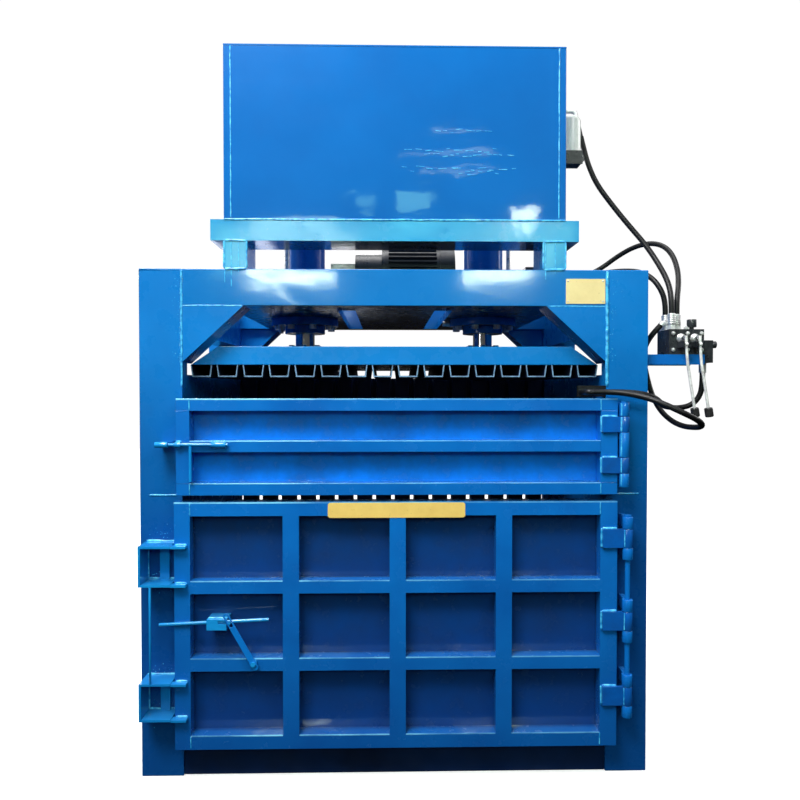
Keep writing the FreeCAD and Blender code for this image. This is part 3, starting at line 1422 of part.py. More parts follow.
# ---------------------------------------------------------------- files
nodes = {
    "base_frame": make_base_frame(),
    "floor_channels": make_floor_channels(),
    "corner_posts": make_corner_posts(),
    "top_beams": make_top_beams(),
    "corner_gussets": make_gussets(),
    "side_walls": make_side_walls(),
    "back_wall": make_back_wall(),
    "cylinder_decks": make_cylinder_decks(),
    "cylinder_barrels": make_cylinder_barrels(),
    "cylinder_flanges": make_cylinder_flanges(),
    "rod_glands": make_rod_glands(),
    "flange_bolts": make_flange_bolts(),
    "pistons": make_pistons(),
    "piston_rods": make_piston_rods(),
    "rod_flanges": make_rod_flanges(),
    "platen_shell": make_platen_shell(),
    "platen_channels": make_platen_channels(),
    "upper_door": make_upper_door(),
    "upper_door_fittings": make_upper_door_fittings(),
    "upper_bolt": make_upper_bolt(),
    "lower_door": make_lower_door(),
    "lower_door_fittings": make_lower_door_fittings(),
    "lower_bolt": make_lower_bolt(),
    "bolt_lever": make_bolt_lever(),
    "hinge_brackets": make_hinge_brackets(),
    "hinge_pins": make_hinge_pins(),
    "latch_keepers": make_latch_keepers(),
    "tank_stand": make_tank_stand(),
    "oil_tank": make_oil_tank(),
    "tank_lid": make_tank_lid(),
    "filler_cap": make_filler_cap(),
    "filter_head": make_filter_head(),
    "filter_canister": make_filter_canister(),
    "motor_plate": make_motor_plate(),
    "motor_housing": make_motor_housing(),
    "motor_covers": make_motor_covers(),
    "terminal_box": make_terminal_box(),
    "motor_rotor": make_motor_rotor(),
    "bell_housing": make_bell_housing(),
    "shaft_coupling": make_shaft_coupling(),
    "pump_drive_gear": make_drive_gear(),
    "pump_driven_gear": make_driven_gear(),
    "pump_housing": make_pump_housing(),
    "valve_shelf": make_valve_shelf(),
    "valve_block": make_valve_block(),
    "left_spool": make_spool(hand_lever_tops[0]),
    "right_spool": make_spool(hand_lever_tops[1]),
    "left_hand_lever": make_hand_lever(hand_lever_tops[0]),
    "right_hand_lever": make_hand_lever(hand_lever_tops[1]),
    "left_knob": make_knob(hand_lever_tops[0]),
    "right_knob": make_knob(hand_lever_tops[1]),
    "hose_fittings": make_hose_fittings(),
    "steel_pipes": make_steel_pipes(),
    "rating_plate": make_rating_plate(),
    "return_hose": [round_tube(return_hose, hose_radius, "return_hose")],
    "pump_hose": [round_tube(pump_hose, hose_radius, "pump_hose")],
    "lift_hose": [round_tube(lift_hose, hose_radius, "lift_hose")],
    "press_hose": [round_tube(press_hose, hose_radius, "press_hose")],
    "drain_hose": [round_tube(drain_hose, hose_radius, "drain_hose")],
}

os.makedirs("parts", exist_ok=True)
for name, solids in nodes.items():
    shape = solids[0] if len(solids) == 1 else Part.makeCompound(solids)
    shape.exportStep("parts/%s.step" % name)
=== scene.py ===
"""Upright recycling baler: looks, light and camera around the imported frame.

Metres. +X is to the operator's right, +Y to the back, +Z up, origin on the floor at the centre.
"""
import json
import math
import random

import bpy
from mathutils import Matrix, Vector, noise


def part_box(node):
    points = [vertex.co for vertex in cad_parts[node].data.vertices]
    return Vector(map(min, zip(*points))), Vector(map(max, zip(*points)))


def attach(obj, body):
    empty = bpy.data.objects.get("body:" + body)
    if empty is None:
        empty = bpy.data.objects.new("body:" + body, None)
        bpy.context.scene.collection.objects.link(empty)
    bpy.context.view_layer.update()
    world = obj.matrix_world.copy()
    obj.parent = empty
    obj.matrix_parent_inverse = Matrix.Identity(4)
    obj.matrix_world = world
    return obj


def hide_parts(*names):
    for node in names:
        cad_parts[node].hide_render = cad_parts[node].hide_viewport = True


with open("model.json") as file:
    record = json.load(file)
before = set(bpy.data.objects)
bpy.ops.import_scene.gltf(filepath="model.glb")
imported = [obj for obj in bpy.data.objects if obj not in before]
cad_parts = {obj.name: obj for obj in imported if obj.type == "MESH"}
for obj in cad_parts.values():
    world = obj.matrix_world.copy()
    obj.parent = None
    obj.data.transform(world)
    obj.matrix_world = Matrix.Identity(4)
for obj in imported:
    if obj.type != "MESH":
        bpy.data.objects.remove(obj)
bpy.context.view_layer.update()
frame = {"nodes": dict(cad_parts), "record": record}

NODES = frame["nodes"]
SCENE = bpy.context.scene
FRAME_BODY = "frame"
X, Y, Z = 0, 1, 2


# ---------------------------------------------------------------- camera
CAMERA_PLACE = (-0.0338, -2.9062, 1.3759)
CAMERA_TILT_DOWN = 0.98
CAMERA_TURN_RIGHT = 1.17
LENS = 30.6
SENSOR_WIDTH = 36.0


def make_camera():
    """Camera at the photograph's place, from the vanishing points of the platen and the frame."""
    data = bpy.data.cameras.new("view_camera")
    data.sensor_width = SENSOR_WIDTH
    data.lens = LENS
    data.clip_end = 60.0
    camera = bpy.data.objects.new("view_camera", data)
    camera.location = CAMERA_PLACE
    camera.rotation_euler = (math.radians(90 - CAMERA_TILT_DOWN), 0.0, math.radians(-CAMERA_TURN_RIGHT))
    SCENE.collection.objects.link(camera)
    SCENE.camera = camera


make_camera()


# ---------------------------------------------------------------- mesh helpers
def add_mesh(name, vertices, faces, material, body=FRAME_BODY, smooth=True):
    """A mesh piece that rides on a body."""
    mesh = bpy.data.meshes.new(name)
    mesh.from_pydata([tuple(v) for v in vertices], [], faces)
    mesh.validate()
    if smooth:
        mesh.shade_smooth()
    piece = bpy.data.objects.new(name, mesh)
    SCENE.collection.objects.link(piece)
    if material:
        mesh.materials.append(material)
    if body:
        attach(piece, body)
    return piece


def stack_faces(first, rings, count):
    """Sides between stacked rings of points, and a cap at each end."""
    faces = []
    for ring in range(rings - 1):
        low = first + ring * count
        for corner in range(count):
            after = (corner + 1) % count
            faces.append((low + corner, low + after, low + count + after, low + count + corner))
    last = first + (rings - 1) * count
    faces.append(tuple(first + corner for corner in reversed(range(count))))
    faces.append(tuple(last + corner for corner in range(count)))
    return faces


def square_to(direction):
    """Two directions square to a run."""
    side = direction.cross(Vector((0.0, 1.0, 0.0)))
    if side.length < 0.1:
        side = direction.cross(Vector((1.0, 0.0, 0.0)))
    side.normalize()
    return side, direction.cross(side).normalized()


# ---------------------------------------------------------------- material helpers
class Shader:
    """A material with one Principled shader and short names for its nodes."""

    def __init__(self, name):
        self.material = bpy.data.materials.new(name)
        self.material.use_nodes = True
        self.tree = self.material.node_tree
        self.tree.nodes.clear()
        output = self.tree.nodes.new("ShaderNodeOutputMaterial")
        self.bsdf = self.tree.nodes.new("ShaderNodeBsdfPrincipled")
        self.tree.links.new(self.bsdf.outputs[0], output.inputs[0])
        self.coordinates = self.tree.nodes.new("ShaderNodeTexCoord").outputs["Object"]
        self.geometry = self.tree.nodes.new("ShaderNodeNewGeometry")

    def put(self, socket, value):
        """Link a socket or set its constant."""
        if isinstance(value, bpy.types.NodeSocket):
            self.tree.links.new(value, socket)
        elif value is not None:
            socket.default_value = value

    def constants(self, **values):
        """Set numbers that hold all over the surface on the shader's own sockets."""
        for key, value in values.items():
            self.bsdf.inputs[key.replace("_", " ")].default_value = value

    def stretched(self, scale):
        """Object coordinates, scaled apart along X, Y and Z."""
        node = self.tree.nodes.new("ShaderNodeMapping")
        self.put(node.inputs["Vector"], self.coordinates)
        node.inputs["Scale"].default_value = scale
        return node.outputs[0]

    def noise(self, scale, detail=3.0, roughness=0.5, distortion=0.0, vector=None):
        node = self.tree.nodes.new("ShaderNodeTexNoise")
        self.put(node.inputs["Vector"], vector or self.coordinates)
        node.inputs["Scale"].default_value = scale
        node.inputs["Detail"].default_value = detail
        node.inputs["Roughness"].default_value = roughness
        node.inputs["Distortion"].default_value = distortion
        return node.outputs[0]

    def voronoi(self, scale):
        node = self.tree.nodes.new("ShaderNodeTexVoronoi")
        self.put(node.inputs["Vector"], self.coordinates)
        node.inputs["Scale"].default_value = scale
        return node.outputs["Distance"]

    def wave(self, scale, distortion, direction):
        node = self.tree.nodes.new("ShaderNodeTexWave")
        node.bands_direction = direction
        self.put(node.inputs["Vector"], self.coordinates)
        node.inputs["Scale"].default_value = scale
        node.inputs["Distortion"].default_value = distortion
        return node.outputs["Fac"]

    def span(self, value, low, high, to_low=0.0, to_high=1.0):
        """Bring a range of values to another range, held at its ends."""
        node = self.tree.nodes.new("ShaderNodeMapRange")
        self.put(node.inputs["Value"], value)
        for key, number in (("From Min", low), ("From Max", high), ("To Min", to_low), ("To Max", to_high)):
            node.inputs[key].default_value = number
        return node.outputs[0]

    def math(self, operation, a, b=None):
        node = self.tree.nodes.new("ShaderNodeMath")
        node.operation = operation
        self.put(node.inputs[0], a)
        self.put(node.inputs[1], b)
        return node.outputs[0]

    def mix(self, factor, a, b):
        node = self.tree.nodes.new("ShaderNodeMix")
        node.data_type = "RGBA"
        self.put(node.inputs[0], factor)
        self.put(node.inputs[6], a)
        self.put(node.inputs[7], b)
        return node.outputs[2]

    def part_of(self, vector, axis):
        node = self.tree.nodes.new("ShaderNodeSeparateXYZ")
        self.put(node.inputs[0], vector)
        return node.outputs[axis]

    def facing(self, axis, low, high):
        """1 where the normal's share along an axis is past high, 0 where it is before low."""
        return self.span(self.part_of(self.geometry.outputs["Normal"], axis), low, high)

    def facing_up(self):
        """1 on faces that look up, 0 on upright ones."""
        return self.facing(Z, 0.6, 0.95)

    def place(self, axis):
        """Place along an axis, in metres."""
        return self.part_of(self.coordinates, axis)

    def bump(self, height, strength, distance, normal=None):
        node = self.tree.nodes.new("ShaderNodeBump")
        node.inputs["Strength"].default_value = strength
        node.inputs["Distance"].default_value = distance
        self.put(node.inputs["Height"], height)
        if normal:
            self.put(node.inputs["Normal"], normal)
        return node.outputs[0]

    def finish(self, color, roughness, normal=None):
        self.put(self.bsdf.inputs["Base Color"], color)
        self.put(self.bsdf.inputs["Roughness"], roughness)
        if normal:
            self.put(self.bsdf.inputs["Normal"], normal)
        return self.material


# ---------------------------------------------------------------- materials
def rgb(r, g, b):
    return (r, g, b, 1.0)


# Painted shade for faces that look down.
PAINTED_UNDERSIDE_SHADE = rgb(0.001, 0.005, 0.020)
# Painted highlight colour for the top front edges of door rails.
PAINTED_EDGE_HIGHLIGHT = rgb(0.22, 0.66, 0.92)
DUST = rgb(0.10, 0.26, 0.50)
CHIPPED = rgb(0.018, 0.026, 0.05)
# Dark patches in the shade span: grime and painted shade together.
GRIME_AND_SHADE = rgb(0.012, 0.022, 0.05)
# The bale door's uprights and both doors' stile edges, in X, and the front of their rails, in Y.
UPRIGHTS = (-0.363, 0.006, 0.375)
UPRIGHT_HALF = 0.028
STILE_EDGES = (-0.709, 0.712)
RAIL_FRONT = (-0.5575, -0.5600)
EDGE_HALF = 0.0012
TOP_EDGE_HALF = 0.0020
EDGE_SOFT = 0.0016
STILE_SOFT = 0.001


def band(s, value, middle, half, soft):
    """1 within a half width of a middle value, 0 past the soft rim."""
    away = s.math("ABSOLUTE", s.math("SUBTRACT", value, middle))
    return s.span(away, half + soft, half)


def near(s, place, reach):
    """1 round a place on a front face, fading out over the reach in X and Z."""
    across = band(s, s.place(X), place[0], reach[0] * 0.4, reach[0] * 0.6)
    along = band(s, s.place(Z), place[1], reach[1] * 0.4, reach[1] * 0.6)
    return s.math("MULTIPLY", across, along)


def painted_edge_highlights(s, levels):
    """Painted highlight: a light line along the top front edges of rails, stronger on the left.

    levels go upwards. The last is the door's own top edge, and the others stop at the stiles. A door with
    more than three levels is the bale door, where they stop at the uprights too.
    """
    posts = s.span(s.place(X), STILE_EDGES[0] + STILE_SOFT, STILE_EDGES[0])
    posts = s.math("MAXIMUM", posts, s.span(s.place(X), STILE_EDGES[1] - STILE_SOFT, STILE_EDGES[1]))
    if len(levels) > 3:
        for middle in UPRIGHTS:
            posts = s.math("MAXIMUM", posts, band(s, s.place(X), middle, UPRIGHT_HALF, STILE_SOFT))
    lines = None
    for level in levels[:-1]:
        line = band(s, s.place(Z), level - EDGE_HALF, EDGE_HALF, EDGE_SOFT)
        lines = s.math("MAXIMUM", lines, line) if lines else line
    lines = s.math("MULTIPLY", lines, s.math("SUBTRACT", 1.0, posts))
    top = band(s, s.place(Z), levels[-1] - TOP_EDGE_HALF, TOP_EDGE_HALF, EDGE_SOFT)
    lines = s.math("MAXIMUM", lines, top)
    lines = s.math("MULTIPLY", lines, s.span(s.place(Y), *RAIL_FRONT))
    uneven = s.noise(6.0, 4.0, 0.6, 0.0, s.stretched((1.0, 1.0, 0.2)))
    lines = s.math("MULTIPLY", lines, s.span(uneven, 0.36, 0.58, 0.25, 1.0))
    return s.math("MULTIPLY", lines, s.span(s.place(X), -0.35, 0.25, 1.0, 0.45))


def enamel(name, deep, light, dust, gloss=(0.16, 0.34), wave_height=0.5, chips=0.0, shade=None, wet=0.25,
           painted_falloff=None, film=0.05, shine=0.25, edges=None, ripples=None):
    """Brushed and sprayed machine enamel: colour drift, runs, orange peel, dust and a few chips.

    gloss is the range of roughness. wet is how thick the clear top layer is, film its roughness and shine
    the gloss under it. shade is (axis, start, end, colour): between two places the colour goes over
    to another tone, darkened in patches of grime and painted shade. It paints shade on the bale door's
    recessed sheets, light on the feed door's, and takes the lit latch blue back to plain blue on its
    right-hand straps. The falloff argument is (start, end, colour, amount): painted shade that builds up
    downwards. edges are heights of rail edges that get a painted highlight. ripples is the place and
    the reach of sagged, wavy paint. Faces that look down get a painted shade.
    """
    s = Shader(name)
    drift = s.noise(2.6, 4.0, 0.55)
    runs = s.noise(9.0, 3.0, 0.6, 0.4, s.stretched((1.0, 1.0, 0.16)))
    color = s.mix(s.span(drift, 0.35, 0.65), deep, light)
    color = s.mix(s.span(runs, 0.62, 0.78, 0.0, 0.35), color, light)
    # Painted shade and painted light between two places, darkened in patches of grime.
    if shade:
        axis, start, end, shade_and_light_tone = shade
        ragged = s.math("ADD", s.place(axis), s.span(s.noise(30.0, 4.0, 0.6), 0.0, 1.0, -0.003, 0.003))
        grime_and_shade = s.mix(s.span(s.noise(7.0, 5.0, 0.65), 0.35, 0.7, 0.0, 0.45), shade_and_light_tone, GRIME_AND_SHADE)
        color = s.mix(s.span(ragged, start, end), color, grime_and_shade)
    # Painted shade that builds up towards the bottom, where the light falls off.
    if painted_falloff:
        start, end, low_color, amount = painted_falloff
        drop = s.math("ADD", s.place(Z), s.span(s.noise(5.0, 4.0, 0.6), 0.0, 1.0, -0.08, 0.08))
        color = s.mix(s.span(drop, start, end, 0.0, amount), color, low_color)
    dusty = s.math("MULTIPLY", s.facing_up(), s.span(s.noise(12.0, 5.0, 0.65), 0.35, 0.75, 0.0, dust))
    color = s.mix(dusty, color, DUST)
    if chips:
        worn = s.span(s.noise(4.0), 0.48, 0.6)
        spots = s.math("MULTIPLY", s.span(s.noise(38.0, 6.0, 0.75), 0.66, 0.70), worn)
        color = s.mix(s.math("MULTIPLY", spots, chips), color, CHIPPED)
    # Painted highlight along the rails' top front edges.
    if edges:
        color = s.mix(painted_edge_highlights(s, edges), color, PAINTED_EDGE_HIGHLIGHT)
    # Painted shade: faces that look down go near-black.
    color = s.mix(s.facing(Z, -0.55, -0.9), color, PAINTED_UNDERSIDE_SHADE)
    roughness = s.span(s.noise(14.0, 5.0, 0.6), 0.3, 0.7, *gloss)
    roughness = s.math("ADD", roughness, s.math("MULTIPLY", dusty, 0.4))
    wavy = s.bump(s.noise(3.4, 2.0, 0.4, 0.6), wave_height, 0.006)
    uneven = s.noise(11.0, 2.0, 0.45, 0.5, s.stretched((0.5, 1.0, 1.2)))
    wavy = s.bump(uneven, wave_height, 0.0009, wavy)
    top_coat = wavy
    if ripples:
        sagged = s.noise(20.0, 0.5, 0.5, 0.6, s.stretched((0.35, 1.0, 1.3)))
        top_coat = s.bump(s.math("MULTIPLY", sagged, near(s, *ripples)), 1.0, 0.00022, wavy)
    s.put(s.bsdf.inputs["Coat Normal"], top_coat)
    brushed = s.noise(21.0, 3.0, 0.5, 0.8, s.stretched((0.5, 1.0, 1.0)))
    normal = s.bump(brushed, wave_height * 0.5, 0.0016, wavy)
    normal = s.bump(runs, 0.25, 0.0012, normal)
    normal = s.bump(s.noise(330.0, 2.0, 0.5), 0.10, 0.0006, normal)
    normal = s.bump(s.noise(160.0, 2.0, 0.6), 0.06, 0.0008, normal)
    s.constants(Specular_IOR_Level=shine, Coat_Weight=wet, Coat_Roughness=film)
    return s.finish(color, roughness, normal)


def cut_ends(name, dark, pale):
    """Near-black channels, a painted shade for the dark inside them, mottled, with pale sawn ends."""
    s = Shader(name)
    channel_shade = s.mix(s.span(s.noise(12.0, 5.0, 0.6), 0.35, 0.7), dark, rgb(0.004, 0.014, 0.05))
    sawn = s.math("MULTIPLY", s.facing(Y, -0.8, -0.95), s.span(s.noise(40.0, 3.0), 0.3, 0.6, 0.45, 1.0))
    color = s.mix(sawn, channel_shade, pale)
    normal = s.bump(s.noise(180.0, 3.0, 0.6), 0.3, 0.0008)
    return s.finish(color, s.span(s.noise(30.0, 4.0), 0.3, 0.7, 0.35, 0.6), normal)


def weld_metal(name, deep, light):
    """Painted weld: heavy ripples and spatter under gloss paint, in a blue lighter than the paint around it
    with paler mottles, a painted highlight and glints.
    """
    s = Shader(name)
    color = s.mix(s.span(s.noise(60.0, 3.0), 0.35, 0.6), deep, light)
    normal = s.bump(s.noise(210.0, 3.0, 0.6, 0.5), 0.7, 0.0020)
    s.constants(Coat_Weight=0.6, Coat_Roughness=0.06)
    return s.finish(color, s.span(s.noise(90.0), 0.3, 0.7, 0.10, 0.28), normal)


def chrome(name):
    """Hard chrome with an oil film and fine turning marks."""
    s = Shader(name)
    rings = s.noise(900.0, 2.0, 0.5, 0.0, s.stretched((0.02, 0.02, 1.0)))
    color = s.mix(s.span(s.noise(7.0, 4.0), 0.4, 0.7), rgb(0.80, 0.81, 0.83), rgb(0.66, 0.68, 0.70))
    normal = s.bump(rings, 0.05, 0.0004)
    s.constants(Metallic=1.0)
    return s.finish(color, s.span(s.noise(18.0, 4.0), 0.3, 0.7, 0.05, 0.16), normal)


def zinc(name, tint=rgb(0.86, 0.87, 0.87), metallic=0.7, shaded_left_of=None):
    """Zinc plate: fine grain and dull patches, and near-black painted shade to the left of a given X."""
    s = Shader(name)
    patch = s.span(s.noise(45.0, 4.0, 0.6), 0.35, 0.65)
    color = s.mix(patch, tint, rgb(tint[0] * 0.66, tint[1] * 0.66, tint[2] * 0.68))
    color = s.mix(s.span(s.noise(17.0, 5.0, 0.7), 0.58, 0.72, 0.0, 0.6), color, rgb(0.20, 0.17, 0.13))
    # Painted shade: near-black to the left of the given X.
    if shaded_left_of:
        color = s.mix(s.span(s.place(X), shaded_left_of, shaded_left_of - 0.01), color, rgb(0.014, 0.015, 0.018))
    normal = s.bump(s.noise(520.0, 3.0), 0.18, 0.0005)
    s.constants(Metallic=metallic)
    return s.finish(color, s.span(s.noise(60.0), 0.3, 0.7, 0.24, 0.46), normal)


def cast_iron(name, dark, light, rough):
    """Sand-cast skin under a lean coat of paint, with a painted light on its tops."""
    s = Shader(name)
    color = s.mix(s.span(s.noise(22.0, 5.0, 0.6), 0.35, 0.65), dark, light)
    # Painted light on the tops: faces that look up go a quarter of the way to pale grey.
    color = s.mix(s.math("MULTIPLY", s.facing_up(), 0.25), color, rgb(0.30, 0.30, 0.29))
    normal = s.bump(s.voronoi(420.0), 0.35, 0.0008)
    normal = s.bump(s.noise(120.0, 4.0, 0.65), 0.35, 0.0010, normal)
    s.constants(Coat_Weight=0.1)
    return s.finish(color, s.span(s.noise(35.0, 4.0), 0.3, 0.7, *rough), normal)


def rubber(name):
    """Hose cover: fine cloth-wrap marks, grey bloom and a few scuffs."""
    s = Shader(name)
    bloom = s.span(s.noise(9.0, 5.0, 0.65), 0.35, 0.75)
    color = s.mix(bloom, rgb(0.003, 0.003, 0.004), rgb(0.008, 0.008, 0.009))
    color = s.mix(s.span(s.noise(75.0, 4.0, 0.7), 0.66, 0.74, 0.0, 0.4), color, rgb(0.05, 0.05, 0.05))
    normal = s.bump(s.wave(170.0, 1.2, "DIAGONAL"), 0.22, 0.0004)
    normal = s.bump(s.noise(700.0, 2.0), 0.15, 0.0003, normal)
    s.constants(Coat_Weight=0.0, Specular_IOR_Level=0.28)
    return s.finish(color, s.span(s.noise(28.0, 4.0), 0.3, 0.7, 0.34, 0.52), normal)


def moulded(name):
    """Black moulded plastic with finger wear."""
    s = Shader(name)
    color = s.mix(s.span(s.noise(30.0, 4.0), 0.4, 0.7), rgb(0.012, 0.012, 0.013), rgb(0.03, 0.03, 0.032))
    normal = s.bump(s.noise(800.0, 2.0), 0.12, 0.0003)
    return s.finish(color, s.span(s.noise(26.0, 5.0), 0.35, 0.7, 0.16, 0.42), normal)


def white_can(name):
    """White enamel on spun steel, with faint smears of oil."""
    s = Shader(name)
    color = s.mix(s.span(s.noise(24.0, 5.0, 0.65), 0.45, 0.8), rgb(0.97, 0.98, 0.98), rgb(0.84, 0.85, 0.85))
    normal = s.bump(s.noise(240.0, 3.0), 0.08, 0.0004)
    s.constants(Coat_Weight=0.3)
    return s.finish(color, s.span(s.noise(20.0, 4.0), 0.3, 0.7, 0.16, 0.34), normal)


def yellow_enamel(name, fresh, worn):
    """Blank yellow plate with light smears and worn patches."""
    s = Shader(name)
    color = s.mix(s.span(s.noise(14.0, 5.0, 0.65), 0.35, 0.75), fresh, worn)
    color = s.mix(s.span(s.noise(120.0, 3.0), 0.68, 0.76, 0.0, 0.5), color, rgb(0.30, 0.24, 0.08))
    normal = s.bump(s.noise(36.0, 3.0), 0.12, 0.0008)
    return s.finish(color, s.span(s.noise(30.0, 4.0), 0.3, 0.7, 0.26, 0.46), normal)


def machined(name):
    """Turned steel with an oil film."""
    s = Shader(name)
    color = s.mix(s.span(s.noise(40.0, 4.0), 0.35, 0.7), rgb(0.46, 0.46, 0.47), rgb(0.26, 0.25, 0.24))
    turned = s.noise(600.0, 2.0, 0.5, 0.0, s.stretched((1.0, 0.05, 0.05)))
    normal = s.bump(turned, 0.15, 0.0004)
    s.constants(Metallic=1.0)
    return s.finish(color, s.span(s.noise(25.0, 4.0), 0.3, 0.7, 0.22, 0.42), normal)


def cast_alloy(name):
    """Die-cast aluminium with dark oily patches."""
    s = Shader(name)
    color = s.mix(s.span(s.noise(28.0, 5.0, 0.65), 0.4, 0.75), rgb(0.52, 0.53, 0.55), rgb(0.22, 0.21, 0.20))
    normal = s.bump(s.noise(300.0, 3.0), 0.25, 0.0006)
    s.constants(Metallic=0.85)
    return s.finish(color, s.span(s.noise(50.0), 0.3, 0.7, 0.34, 0.54), normal)


DEEP = rgb(0.0030, 0.115, 0.455)
BRIGHT = rgb(0.0040, 0.165, 0.580)
# Painted shade for the bale door's recessed sheets.
RECESS_SHADE_BLUE = rgb(0.005, 0.052, 0.230)
# Painted light for the feed door's recessed sheets, brighter than its rails.
RECESS_LIT_BLUE = rgb(0.005, 0.235, 0.930)
# Painted shade towards the bottom of doors, posts and latches.
FALLOFF_SHADE = rgb(0.003, 0.034, 0.190)
# Depths, in Y, between which a door's rails go over to the tone of its recessed sheet: painted shade
# on the bale door, painted light on the feed door.
SHEET_START = -0.530
SHEET_END = -0.508

BLUE = enamel("blue_enamel", DEEP, BRIGHT, dust=0.20)
BLUE_BEAM = enamel("blue_beam_enamel", rgb(0.001, 0.145, 0.455), rgb(0.002, 0.172, 0.520), dust=0.20,
                   gloss=(0.24, 0.34), wet=0.8, film=0.10, shine=0.08)
BLUE_PLATEN = enamel("blue_platen_enamel", rgb(0.002, 0.180, 0.520), rgb(0.003, 0.210, 0.600), dust=0.10,
                     gloss=(0.2, 0.34), wave_height=0.4)
BLUE_TANK = enamel("blue_tank_enamel", rgb(0.001, 0.100, 0.365), rgb(0.001, 0.118, 0.415), dust=0.15,
                   gloss=(0.30, 0.40), wave_height=0.4, wet=0.35, shine=0.06,
                   ripples=((0.23, 2.21), (0.40, 0.20)))
# Tank stand: a lighter copy of the blue, painted light for the glare on its ledge and legs.
BLUE_STAND_LIT = enamel("blue_stand_lit_enamel", rgb(0.002, 0.215, 0.500), rgb(0.003, 0.27, 0.58), dust=0.15,
                    gloss=(0.20, 0.30), wave_height=0.8, wet=1.0, film=0.13)
# Bale door: painted shade in its recessed sheets and towards the bottom, painted highlights on its rail
# edges.
DOOR_BLUE = enamel("blue_door_enamel", DEEP, BRIGHT, dust=0.07, gloss=(0.15, 0.32), chips=0.25, wet=0.8,
                   shade=(Y, SHEET_START, SHEET_END, RECESS_SHADE_BLUE), painted_falloff=(0.95, 0.10, FALLOFF_SHADE, 0.55),
                   edges=(0.174, 0.4428, 0.7117, 0.984))
# Feed door: painted light on its recessed sheets, painted highlights on its rail edges.
FEED_BLUE = enamel("blue_feed_door_enamel", DEEP, BRIGHT, dust=0.10, gloss=(0.15, 0.32), chips=0.2, wet=0.8,
                   shade=(Y, SHEET_START, SHEET_END, RECESS_LIT_BLUE), edges=(1.049, 1.196, 1.341))
# Posts and gussets: painted shade towards the bottom.
POST_BLUE = enamel("blue_post_enamel", rgb(0.002, 0.155, 0.490), rgb(0.003, 0.190, 0.580), dust=0.20,
                   gloss=(0.22, 0.36), chips=0.3, wet=0.3, painted_falloff=(1.56, 0.75, FALLOFF_SHADE, 0.80), shine=0.15)
# Chamber back wall and floor channels: near-black that stands in for the shade inside the chamber, with dust
# and chips.
CHAMBER_SHADE = enamel("chamber_shade_enamel", rgb(0.003, 0.016, 0.060), rgb(0.006, 0.030, 0.110), dust=0.30,
                gloss=(0.3, 0.6), wave_height=0.3, chips=0.8)
# Dark-paint parts, the recessed base among them: near-black navy that stands in for their shade, with dust
# and chips.
BASE_SHADE_NAVY = enamel("navy_base_shade_enamel", rgb(0.002, 0.009, 0.04), rgb(0.004, 0.02, 0.09), dust=0.35,
              gloss=(0.3, 0.6), wave_height=0.3, chips=0.6)
# Latches, bolts and door fittings: a lighter copy of the blue as painted highlight, taken back to plain blue
# with dark patches right of the middle, and painted shade towards the bottom.
LATCH_BLUE_LIT = enamel("blue_latch_lit_enamel", rgb(0.004, 0.20, 0.60), rgb(0.010, 0.32, 0.78), dust=0.15,
                    gloss=(0.08, 0.18), wave_height=1.2, wet=1.0, shade=(X, 0.0, 0.1, rgb(0.002, 0.12, 0.52)),
                    painted_falloff=(0.95, 0.10, FALLOFF_SHADE, 0.35))
# Welds, spatter, paint drips and tank sags share a blue lighter than the paint around them: painted highlight
# and glints.
WELD_BLUE_LIT = weld_metal("weld_blue_lit", rgb(0.005, 0.22, 0.62), rgb(0.08, 0.56, 0.90))
# Platen channels: near-black painted shade with pale sawn ends.
CUT_BLUE = cut_ends("channel_enamel", rgb(0.002, 0.006, 0.022), rgb(0.16, 0.30, 0.46))
CHROME = chrome("hard_chrome")
ZINC = zinc("zinc_plate")
# Hose fittings: painted shade left of x = 0.765, where they sit in the dark.
FITTINGS = zinc("zinc_fittings", rgb(0.95, 0.96, 0.96), metallic=0.5, shaded_left_of=0.765)
LEVER = zinc("lever_plate", rgb(0.95, 0.95, 0.95), metallic=0.25)
STEEL = machined("turned_steel")
IRON = cast_iron("dark_iron", rgb(0.010, 0.012, 0.016), rgb(0.026, 0.029, 0.036), rough=(0.20, 0.42))
MOTOR = cast_iron("motor_black", rgb(0.005, 0.008, 0.014), rgb(0.010, 0.014, 0.024), rough=(0.35, 0.55))
ALLOY = cast_alloy("pump_alloy")
RUBBER = rubber("hose_rubber")
PLASTIC = moulded("moulded_black")
CAN = white_can("filter_white")
YELLOW = yellow_enamel("plate_yellow", rgb(0.86, 0.60, 0.17), rgb(0.76, 0.50, 0.13))
PALE_YELLOW = yellow_enamel("plate_pale_yellow", rgb(0.80, 0.66, 0.32), rgb(0.70, 0.56, 0.26))

BY_SLOT = {
    "blue_paint": BLUE, "dark_paint": BASE_SHADE_NAVY, "zinc_steel": ZINC, "machined_steel": STEEL,
    "chromed_steel": CHROME, "cast_iron": IRON, "cast_aluminium": ALLOY, "black_plastic": PLASTIC,
    "black_rubber": RUBBER, "white_paint": CAN, "motor_paint": MOTOR, "yellow_plate": YELLOW,
}
BY_NODE = {
    "oil_tank": BLUE_TANK, "tank_lid": BLUE_TANK, "tank_stand": BLUE_STAND_LIT, "top_beams": BLUE_BEAM,
    "corner_posts": POST_BLUE, "corner_gussets": POST_BLUE, "upper_door": FEED_BLUE, "lower_door": DOOR_BLUE,
    "platen_shell": BLUE_PLATEN, "platen_channels": CUT_BLUE, "back_wall": CHAMBER_SHADE, "floor_channels": CHAMBER_SHADE,
    "upper_bolt": LATCH_BLUE_LIT, "upper_door_fittings": LATCH_BLUE_LIT, "lower_bolt": LATCH_BLUE_LIT,
    "lower_door_fittings": LATCH_BLUE_LIT, "latch_keepers": LATCH_BLUE_LIT, "hose_fittings": FITTINGS,
    "rating_plate": PALE_YELLOW, "left_hand_lever": LEVER, "right_hand_lever": LEVER, "hinge_pins": BLUE,
}
for part in frame["record"]["subparts"]:
    node = NODES[part["node"]]
    node.data.materials.clear()
    node.data.materials.append(BY_NODE.get(part["node"], BY_SLOT[part["material_slot"]]))


